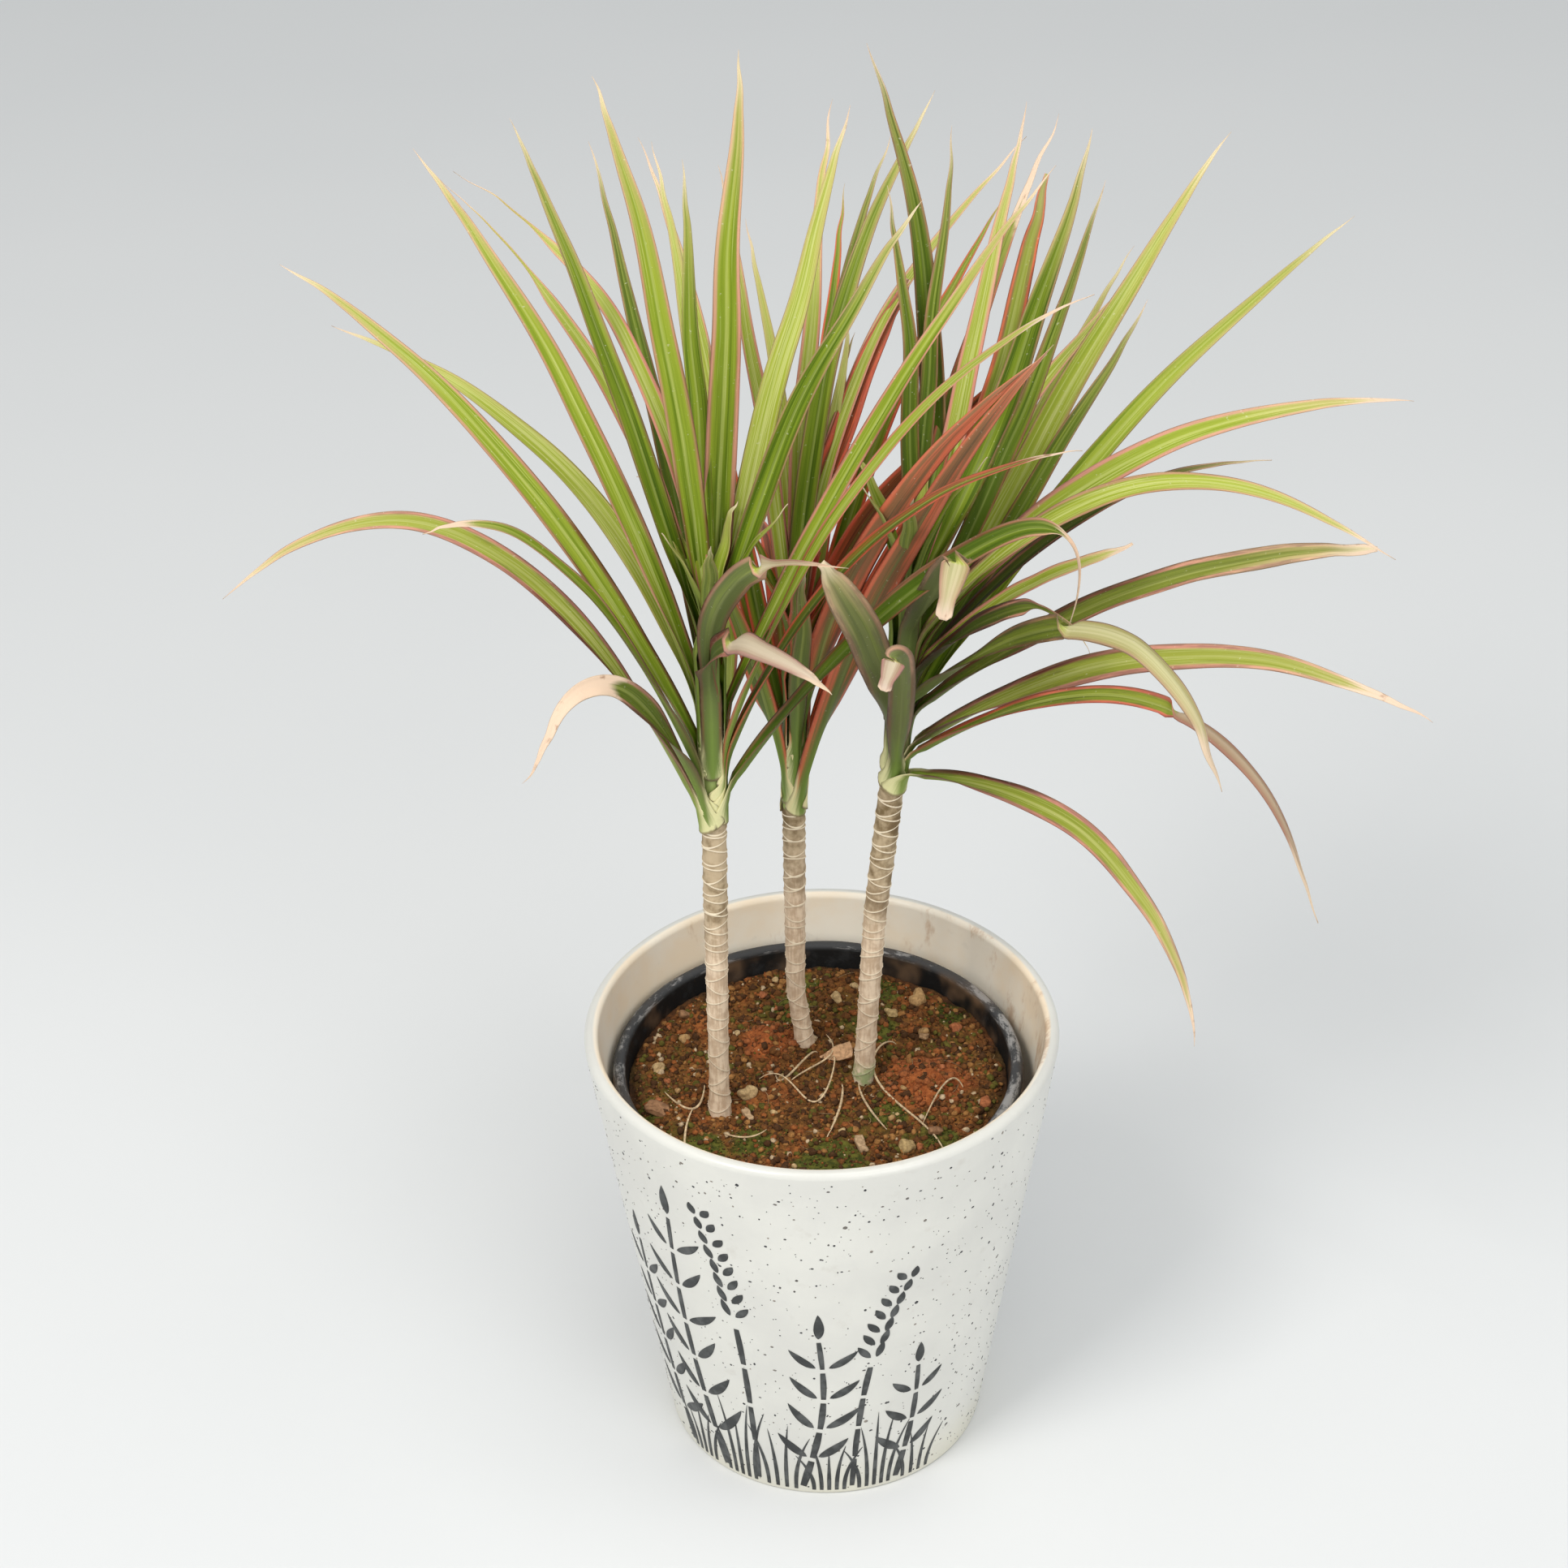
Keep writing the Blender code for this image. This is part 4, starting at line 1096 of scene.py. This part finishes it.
def soil_height(x, y):
    """The height of the soil's surface, with x and y in mm from its centre."""
    height = SOIL_HEIGHT - 0.6 * MM
    for px, py, radius, rise in MOUNDS:
        height += rise * MM * exp(-(hypot(x - px, y - py) / radius * 1.5) ** 2)
    place = Vector((x, y, 0))
    height += noise.fractal(place / 14, 0.7, 2.1, 5) * 1.5 * MM
    height += noise.fractal(place / 3.1 + Vector((7, 3, 1)), 0.6, 2.2, 4) * 0.6 * MM
    for cane in CANES:
        away = hypot(x * MM + LINER_SHIFT - cane.course[0][1] * MM, y * MM - cane.course[0][2] * MM)
        height -= 1.5 * MM * exp(-(away / (8 * MM)) ** 2)
    return height - 2.5 * MM * ramp(hypot(x, y), 72, 80)


def on_soil(x, y, lift=0.0):
    return Vector((x * MM + LINER_SHIFT, y * MM, soil_height(x, y) + lift * MM))


def build_soil(finish):
    foot = POT_FLOOR + LINER_WALL + 2 * CLEARANCE
    edge = liner_radius(SOIL_HEIGHT) - SOIL_INSET
    shape, marks = marked_shape("soil_marks")
    top_share = SOIL_RINGS / (SOIL_RINGS + 3)
    below = ((edge - 0.2 * MM, 100 * MM), (liner_radius(foot) - SOIL_INSET, foot), (0, foot))

    def in_liner(vertex, around, along):
        angle = around * 2 * pi
        ring = round(along * (SOIL_RINGS + 3))
        if along <= top_share + 1e-6:
            radius = edge * ring / SOIL_RINGS
            x, y = radius * cos(angle) / MM, radius * sin(angle) / MM
            red = near_patch(x, y, MOUNDS[:2])
            # Darker in a ring next to the nursery pot's wall.
            wallside_dark = ramp(hypot(x, y), 66, 80) * 0.8
            vertex[marks] = Vector((near_patch(x, y, MOSS_PATCHES), red, wallside_dark))
            return on_soil(x, y)
        radius, height = below[ring - SOIL_RINGS - 1]
        return Vector((radius * cos(angle) + LINER_SHIFT, radius * sin(angle), height))

    rounds(shape, SOIL_STEPS, SOIL_RINGS + 3, in_liner)
    bmesh.ops.recalc_face_normals(shape, faces=shape.faces)
    piece("soil_bed", shape, finish, "soil", ["soil"])


def in_batches(rows, build_one, layer, batch=150):
    """Joined small pieces, made a batch at a time, which is much faster than all in one mesh."""
    whole = bmesh.new()
    whole.verts.layers.float_vector.new(layer)
    rows = list(rows)
    for start in range(0, len(rows), batch):
        part = bmesh.new()
        values = part.verts.layers.float_vector.new(layer)
        for row in rows[start:start + batch]:
            build_one(part, values, row)
        mesh = bpy.data.meshes.new("batch")
        part.to_mesh(mesh)
        part.free()
        whole.from_mesh(mesh)
        bpy.data.meshes.remove(mesh)
    return whole


def add_stone(shape, tints, draw, place, size, tint, detail=1):
    """One small lump: a ball of few faces, squeezed and roughened."""
    squeeze = Matrix.Diagonal((draw.uniform(0.7, 1.2), draw.uniform(0.7, 1.2), draw.uniform(0.55, 0.9), 1))
    turn = Matrix.Rotation(draw.uniform(0, 2 * pi), 4, "Z") @ Matrix.Rotation(draw.uniform(-0.5, 0.5), 4, "X")
    made = bmesh.ops.create_icosphere(shape, subdivisions=detail, radius=size,
                                      matrix=Matrix.Translation(place) @ turn @ squeeze)["verts"]
    for vertex in made:
        outside = vertex.co - place
        vertex.co = place + outside * (1 + noise.noise(vertex.co / size * 0.9) * 0.7)
        vertex[tints] = Vector(tint)


def soil_spot(draw, reach=78):
    """A random place on the soil, in mm."""
    radius = reach * draw.random() ** 0.5
    angle = draw.uniform(0, 2 * pi)
    return radius * cos(angle), radius * sin(angle)


def build_crumbs(finish):
    draw = random.Random("crumbs")

    def add_crumb(shape, tints, _):
        x, y = soil_spot(draw)
        size = blend(0.4, 2.0, draw.random() ** 3)
        if near_patch(x, y, MOSS_PATCHES) > 0.6 and draw.random() < 0.6:
            return
        tint = draw.choices(CRUMB_TINTS, CRUMB_SHARES)[0]
        if draw.random() < near_patch(x, y, MOUNDS[:2]) * 0.6:
            tint = CRUMB_RED
        add_stone(shape, tints, draw, on_soil(x, y, size * 0.25), size * MM, tint)

    piece("soil_crumbs", in_batches(range(CRUMB_COUNT), add_crumb, "tint"), finish, "soil")


def build_pebbles(finish):
    draw = random.Random("pebbles")
    shape, tints = marked_shape("tint")
    for x, y, size in PEBBLES:
        add_stone(shape, tints, draw, on_soil(x, y, size * 0.45), size * MM, draw.choice(PEBBLE_TINTS), 3)
    for _ in range(44):
        x, y = soil_spot(draw, 76)
        size = draw.uniform(0.8, 1.9)
        add_stone(shape, tints, draw, on_soil(x, y, size * 0.4), size * MM, draw.choice(PEBBLE_TINTS), 2)
    piece("soil_pebbles", shape, finish, "soil")


def build_moss(finish):
    """Low tufts of moss, as joined little spikes."""
    draw = random.Random("moss")

    def add_spike(shape, tints, _):
        px, py, reach = draw.choice(MOSS_PATCHES)
        angle, out = draw.uniform(0, 2 * pi), reach * draw.random() ** 0.7
        x, y = px + out * cos(angle), py + out * sin(angle)
        if hypot(x, y) > 77 or noise.noise(Vector((x, y, 0)) / 5) < 0.02:
            return
        tall = draw.uniform(0.4, 0.95)
        lean = Matrix.Rotation(draw.uniform(-0.6, 0.6), 4, "X")
        lean = lean @ Matrix.Rotation(draw.uniform(-0.6, 0.6), 4, "Y")
        at = Matrix.Translation(on_soil(x, y, tall * 0.35))
        made = bmesh.ops.create_cone(shape, cap_ends=True, segments=4, radius1=0.42 * MM, radius2=0.08 * MM,
                                     depth=tall * MM, matrix=at @ lean)["verts"]
        green = draw.uniform(0.6, 1.25)
        for vertex in made:
            vertex[tints] = Vector((0.088 * green, 0.098 * green, 0.011))

    piece("soil_moss", in_batches(range(MOSS_TUFT_COUNT), add_spike, "tint"), finish, "soil")


def add_thread(shape, tints, points, radius, tint, strip, steps=40):
    """A thin fibre through some points, tapered at both ends."""
    places = [curve_through(points, step / steps) for step in range(steps + 1)]

    def on_thread(vertex, around, along):
        index = round(along * steps)
        onward = heading(places, index)
        side = onward.cross(Vector((0, 0, 1))).normalized()
        angle = around * 2 * pi
        taper = radius * (1 - 0.6 * abs(2 * along - 1) ** 3)
        vertex[tints] = Vector(tint)
        return places[index] + (side * cos(angle) + side.cross(onward) * sin(angle)) * taper

    rounds(shape, 7, steps, on_thread, strip)


def build_fibres(finish):
    draw = random.Random("fibres")
    shape, tints = marked_shape("tint")
    total = len(FIBRES) + ROOTLET_COUNT
    for index, row in enumerate(FIBRES):
        points = [on_soil(x, y, lift) for x, y, lift in row]
        shade = draw.uniform(0.85, 1.1)
        strip = (index / total, (index + 0.9) / total)
        add_thread(shape, tints, points, draw.uniform(0.38, 0.55) * MM, FIBRE_TINT * shade, strip)
    for index in range(len(FIBRES), total):
        x, y = soil_spot(draw, 70)
        azimuth, bend, length = draw.uniform(0, 360), draw.uniform(-60, 60), draw.uniform(3, 7)
        points = [on_soil(x, y, 0.3)]
        for turn in (0, bend):
            step = outward(azimuth + turn) * length
            x, y = x + step.x, y + step.y
            points.append(on_soil(x, y, draw.uniform(0.3, 1.3)))
        shade = draw.uniform(0.4, 0.9)
        strip = (index / total, (index + 0.9) / total)
        add_thread(shape, tints, points, 0.16 * MM, ROOTLET_TINT * shade, strip, 10)
    piece("root_fibres", shape, finish, "soil")


def build_scrap(finish):
    """A dry scrap of leaf: a thin curled strip, pointed at one end and torn off at the other."""
    steps, width = 24, 7 * MM
    points = [on_soil(x, y, lift) for x, y, lift in SCRAP]
    places = [curve_through(points, step / steps) for step in range(steps + 1)]
    shape, tints = marked_shape("tint")

    def on_scrap(vertex, around, along):
        index = round(along * steps)
        onward = heading(places, index)
        side = onward.cross(Vector((0, -0.6, 0.8))).normalized()
        normal = side.cross(onward)
        across = across_strip(around)
        half = width / 2 * (0.06 + 0.94 * ramp(along, -0.1, 0.65))
        lift = half * 0.4 * across ** 2 + (0.2 if around < 0.5 else -0.2) * MM * (1 - across ** 2)
        torn = onward * noise.noise(Vector((across * 4, 0, 0))) * 2 * MM * ramp(along, 0.8, 1)
        vertex[tints] = Vector(SCRAP_TINT)
        return places[index] + side * across * half + normal * lift + torn

    rounds(shape, 16, steps, on_scrap)
    piece("leaf_scrap", shape, finish, "soil")


def build_chips(finish):
    """Flat bits of bark, lying on the soil."""
    draw = random.Random("chips")
    shape, tints = marked_shape("tint")
    for x, y, turn, length, width, tilt in CHIPS:
        at = (Matrix.Translation(on_soil(x, y, 1.4)) @ Matrix.Rotation(radians(turn), 4, "Z")
              @ Matrix.Rotation(radians(tilt), 4, "Y") @ Matrix.Diagonal((length / 2, width / 2, 1.1, 1)))
        made = bmesh.ops.create_cube(shape, size=2 * MM, matrix=at)["verts"]
        edges = list({edge for vertex in made for edge in vertex.link_edges})
        bmesh.ops.subdivide_edges(shape, edges=edges, cuts=4, use_grid_fill=True)
        made = list({vertex for edge in edges if edge.is_valid for vertex in edge.verts})
        chip = {vertex for start in made for face in start.link_faces for vertex in face.verts}
        for _ in range(3):
            chip |= {vertex for start in chip for face in start.link_faces for vertex in face.verts}
        centre = on_soil(x, y, 1.4)
        tint = draw.choice(CHIP_TINTS)
        for vertex in chip:
            rough = Vector((noise.noise(vertex.co * 400), noise.noise(vertex.co * 400 + Vector((5, 0, 0))),
                            noise.noise(vertex.co * 300 + Vector((0, 9, 0)))))
            pull = 1 - 0.35 * min(1, (vertex.co - centre).length / (length / 2 * MM)) ** 3
            vertex.co = centre + (vertex.co - centre) * pull + rough * 0.9 * MM
            vertex[tints] = Vector(tint)
    piece("bark_chips", shape, finish, "soil")


WALL_SLOPE = (POT_RIM_RADIUS - POT_FOOT_RADIUS) / (POT_HEIGHT - POT_WALL / 2 - POT_FOOT_EDGE)


def pot_point(bearing, height, offset=0.0):
    """A place on the pot's outside wall. The bearing runs from the front to the right, in radians."""
    radius = POT_FOOT_RADIUS + WALL_SLOPE * (height - POT_FOOT_EDGE) + offset
    return Vector((radius * sin(bearing), -radius * cos(bearing), height - offset * WALL_SLOPE))


def build_flecks(finish):
    """The dark flecks in the glaze, each a flat grain that stands a hair proud of the wall."""
    draw = random.Random("flecks")

    def add_fleck(shape, tones, _):
        bearing = draw.uniform(-pi, pi)
        height = draw.uniform(3 * MM, POT_HEIGHT - 4 * MM)
        low, high = FLECK_SIZES
        size = blend(low, high, draw.random() ** 2.6)
        face = Matrix.Rotation(bearing, 4, "Z") @ Matrix.Rotation(WALL_SLOPE, 4, "X")
        squeeze = Matrix.Diagonal((draw.uniform(0.7, 1.5), 0.15 * MM / size, draw.uniform(0.7, 1.3), 1))
        at = Matrix.Translation(pot_point(bearing, height))
        lie = at @ face @ squeeze
        made = bmesh.ops.create_icosphere(shape, subdivisions=1, radius=size, matrix=lie)["verts"]
        tone = Vector((draw.random(), 0, 0))
        for vertex in made:
            vertex[tones] = tone

    piece("glaze_flecks", in_batches(range(FLECK_COUNT), add_fleck, "tone"), finish, "pot_glaze")


STENCIL_RADIUS = 85 * MM


def bar(share):
    """The swell of a length of stem: nearly even."""
    return 0.8 + 0.2 * sin(pi * share)


def lens(share):
    """The swell of a leaf or a grain: pointed at both ends."""
    return 0.03 + 0.97 * max(sin(pi * share ** 0.85), 0) ** 0.8


def spike(share):
    """The swell of a blade of grass: widest low down, with a fine tip."""
    return 0.03 + min(0.97, 0.7 + share) * (1 - share) ** 0.7


def add_stroke(shape, points, width, swell):
    """One stencilled stroke: a ribbon through (across, height) points in mm, laid on the pot's wall."""
    steps = 14
    spine = [Vector((x, y, 0)) for x, y in points]
    made = bmesh.ops.create_grid(shape, x_segments=4, y_segments=steps, size=1)["verts"]
    for vertex in made:
        side, share = vertex.co.x, (vertex.co.y + 1) / 2
        here = curve_through(spine, share)
        ahead, behind = curve_through(spine, share + 0.01), curve_through(spine, share - 0.01)
        onward = (ahead - behind).normalized()
        flat = here + Vector((onward.y, -onward.x, 0)) * side * width / 2 * swell(min(share, 1))
        vertex.co = pot_point(flat.x * MM / STENCIL_RADIUS, max(flat.y, 1.8) * MM, 0.12 * MM)
    faces = list({face for vertex in made for face in vertex.link_faces})
    bmesh.ops.solidify(shape, geom=faces, thickness=0.25 * MM)


def add_sprig(shape, draw, foot, top, bow, leaf_length, pairs):
    """A stem in broken lengths with a pair of pointed leaves at each joint and one at its tip."""
    def stem(share):
        x = blend(foot[0], top[0], share) + bow * sin(pi * share)
        return x, blend(foot[1], top[1], share)

    for index in range(pairs):
        start, end = (index + 0.06) / pairs, (index + 0.92) / pairs
        width = 4.0 * (1 - 0.5 * start)
        add_stroke(shape, [stem(start), stem((start + end) / 2), stem(end)], width, bar)
        if index == 0:
            continue
        x, y = stem(start)
        for side in (-1, 1):
            angle = radians(draw.uniform(38, 58))
            length = leaf_length * (1 - 0.45 * start) * draw.uniform(0.85, 1.1)
            out, up = side * sin(angle), cos(angle)
            root = (x + side * 3.0, y + 0.8)
            middle = (root[0] + out * length * 0.52, root[1] + up * length * 0.42)
            tip = (root[0] + out * length, root[1] + up * length * 1.02)
            add_stroke(shape, [root, middle, tip], 5.0 * (1 - 0.3 * start), lens)
    x, y = stem(1)
    tip = [(x, y + 1), (x + bow * 0.05, y + leaf_length * 0.35), (x, y + leaf_length * 0.7)]
    add_stroke(shape, tip, 4.4, lens)


def add_seed_head(shape, draw, foot, top, bow, grains):
    """A thin stem that nods, with rows of oval grains up its head."""
    def stem(share):
        x = blend(foot[0], top[0], share) + bow * share ** 3
        return x, blend(foot[1], top[1], share) - abs(bow) * 0.25 * share ** 4

    for index in range(4):
        start, end = 0.15 * index + 0.008, 0.15 * index + 0.14
        add_stroke(shape, [stem(start), stem((start + end) / 2), stem(end)], 3.0, bar)
    for index in range(grains):
        share = blend(0.64, 1.0, index / (grains - 1))
        x, y = stem(share)
        for side in (-1, 1):
            angle = radians(draw.uniform(22, 34)) * side - bow * 0.012
            length = 8.6 * (1.1 - 0.45 * index / grains)
            root = (x + side * 1.3, y)
            tip = (root[0] + sin(angle) * length, root[1] + cos(angle) * length)
            middle = ((root[0] + tip[0]) / 2 + side * 0.3, (root[1] + tip[1]) / 2)
            add_stroke(shape, [root, middle, tip], 3.4, lens)


def add_grass(shape, draw, x, count, tall):
    """A tuft of blades that fan out from the pot's foot."""
    for index in range(count):
        fan = (index - (count - 1) / 2) / count
        height = tall * draw.uniform(0.6, 1.0) * (1 - 0.5 * abs(fan))
        foot = (x + fan * 20, 3)
        middle = (foot[0] + fan * 5, 3 + height * 0.5)
        tip = (foot[0] + fan * 22, 3 + height)
        add_stroke(shape, [foot, middle, tip], 2.7, spike)


def build_stencil(finish):
    """A plain charcoal stencil of sprigs, seed heads and grass round the pot, front first and then back."""
    plants = (
        (add_sprig, (-84, 4), (-94, 124), -4, 22, 6), (add_sprig, (-58, 4), (-66, 158), -6, 25, 7),
        (add_seed_head, (-38, 4), (-36, 172), -14, 8), (add_sprig, (-14, 4), (-4, 104), 6, 23, 5),
        (add_seed_head, (12, 4), (18, 140), 15, 7), (add_sprig, (36, 4), (42, 78), 3, 19, 4),
        (add_grass, -74, 5, 44), (add_grass, -48, 5, 62), (add_grass, -25, 4, 46), (add_grass, 0, 5, 38),
        (add_grass, 24, 5, 54), (add_grass, 48, 4, 32),
        (add_seed_head, (196, 4), (188, 150), -14, 7), (add_sprig, (216, 4), (224, 122), 4, 22, 6),
        (add_grass, 206, 6, 52), (add_grass, 232, 5, 40),
    )
    draw = random.Random("stencil")
    shape = bmesh.new()
    for add_plant, *row in plants:
        add_plant(shape, draw, *row)
    piece("stencil_sprigs", shape, finish, "pot_glaze")


def build_floor(finish):
    shape = bmesh.new()
    bmesh.ops.create_grid(shape, x_segments=1, y_segments=1, size=FLOOR_HALF)
    mesh = bpy.data.meshes.new("floor")
    shape.to_mesh(mesh)
    shape.free()
    mesh.materials.append(finish)
    floor = bpy.data.objects.new("floor", mesh)
    bpy.context.scene.collection.objects.link(floor)


def add_light(name, place, size, power, colour):
    lamp = bpy.data.lights.new(name, "AREA")
    lamp.shape = "SQUARE"
    lamp.size = size
    lamp.energy = power
    lamp.color = colour
    item = bpy.data.objects.new(name, lamp)
    item.location = place
    item.rotation_euler = (Vector(LIGHT_AIM) - Vector(place)).to_track_quat("-Z", "Y").to_euler()
    bpy.context.scene.collection.objects.link(item)


def light_studio():
    for light in LIGHTS:
        add_light(*light)
    world = bpy.data.worlds.new("studio")
    world.use_nodes = True
    world.node_tree.nodes["Background"].inputs["Color"].default_value = BACKDROP
    world.node_tree.nodes["Background"].inputs["Strength"].default_value = BACKDROP_STRENGTH
    bpy.context.scene.world = world
    bpy.context.scene.view_settings.view_transform = "Standard"


def place_camera():
    """The photograph's view: a long lens that looks down at the pot, turned a touch clockwise."""
    lens = bpy.data.cameras.new("camera")
    lens.lens = CAMERA_LENS
    lens.sensor_width = CAMERA_SENSOR
    camera = bpy.data.objects.new("camera", lens)
    tilt = Matrix.Rotation(radians(90 - CAMERA_PITCH), 4, "X") @ Matrix.Rotation(radians(CAMERA_ROLL), 4, "Z")
    camera.matrix_world = Matrix.Translation(CAMERA_PLACE) @ tilt
    bpy.context.scene.collection.objects.link(camera)
    bpy.context.scene.camera = camera


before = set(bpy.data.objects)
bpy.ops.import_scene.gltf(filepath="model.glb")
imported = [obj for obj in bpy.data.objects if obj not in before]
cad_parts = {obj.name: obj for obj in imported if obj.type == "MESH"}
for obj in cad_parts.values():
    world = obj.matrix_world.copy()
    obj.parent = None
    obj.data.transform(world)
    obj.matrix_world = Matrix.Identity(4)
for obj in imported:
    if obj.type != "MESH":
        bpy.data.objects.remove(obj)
packed_nodes = sorted(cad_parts)
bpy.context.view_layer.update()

place_camera()
light_studio()
build_floor(floor_finish())
build_pot(glaze_finish())
build_flecks(fleck_finish())
build_stencil(charcoal_finish())
build_liner(liner_finish())
build_soil(soil_finish())
crumb = tinted_finish("soil_crumb", roughness=0.95, grain_size=1.2 * MM, grain_depth=0.4 * MM)
litter = tinted_finish("dry_litter", roughness=0.8, grain_size=1.5 * MM, grain_depth=0.3 * MM)
build_crumbs(crumb)
build_pebbles(crumb)
build_moss(crumb)
build_fibres(litter)
build_chips(litter)
build_scrap(litter)
leaf = leaf_finish()
bark = cane_finish()
for cane in CANES:
    build_cane(cane, bark)
    build_leaves(cane, leaf, packed_nodes)
    build_heart(cane, leaf)
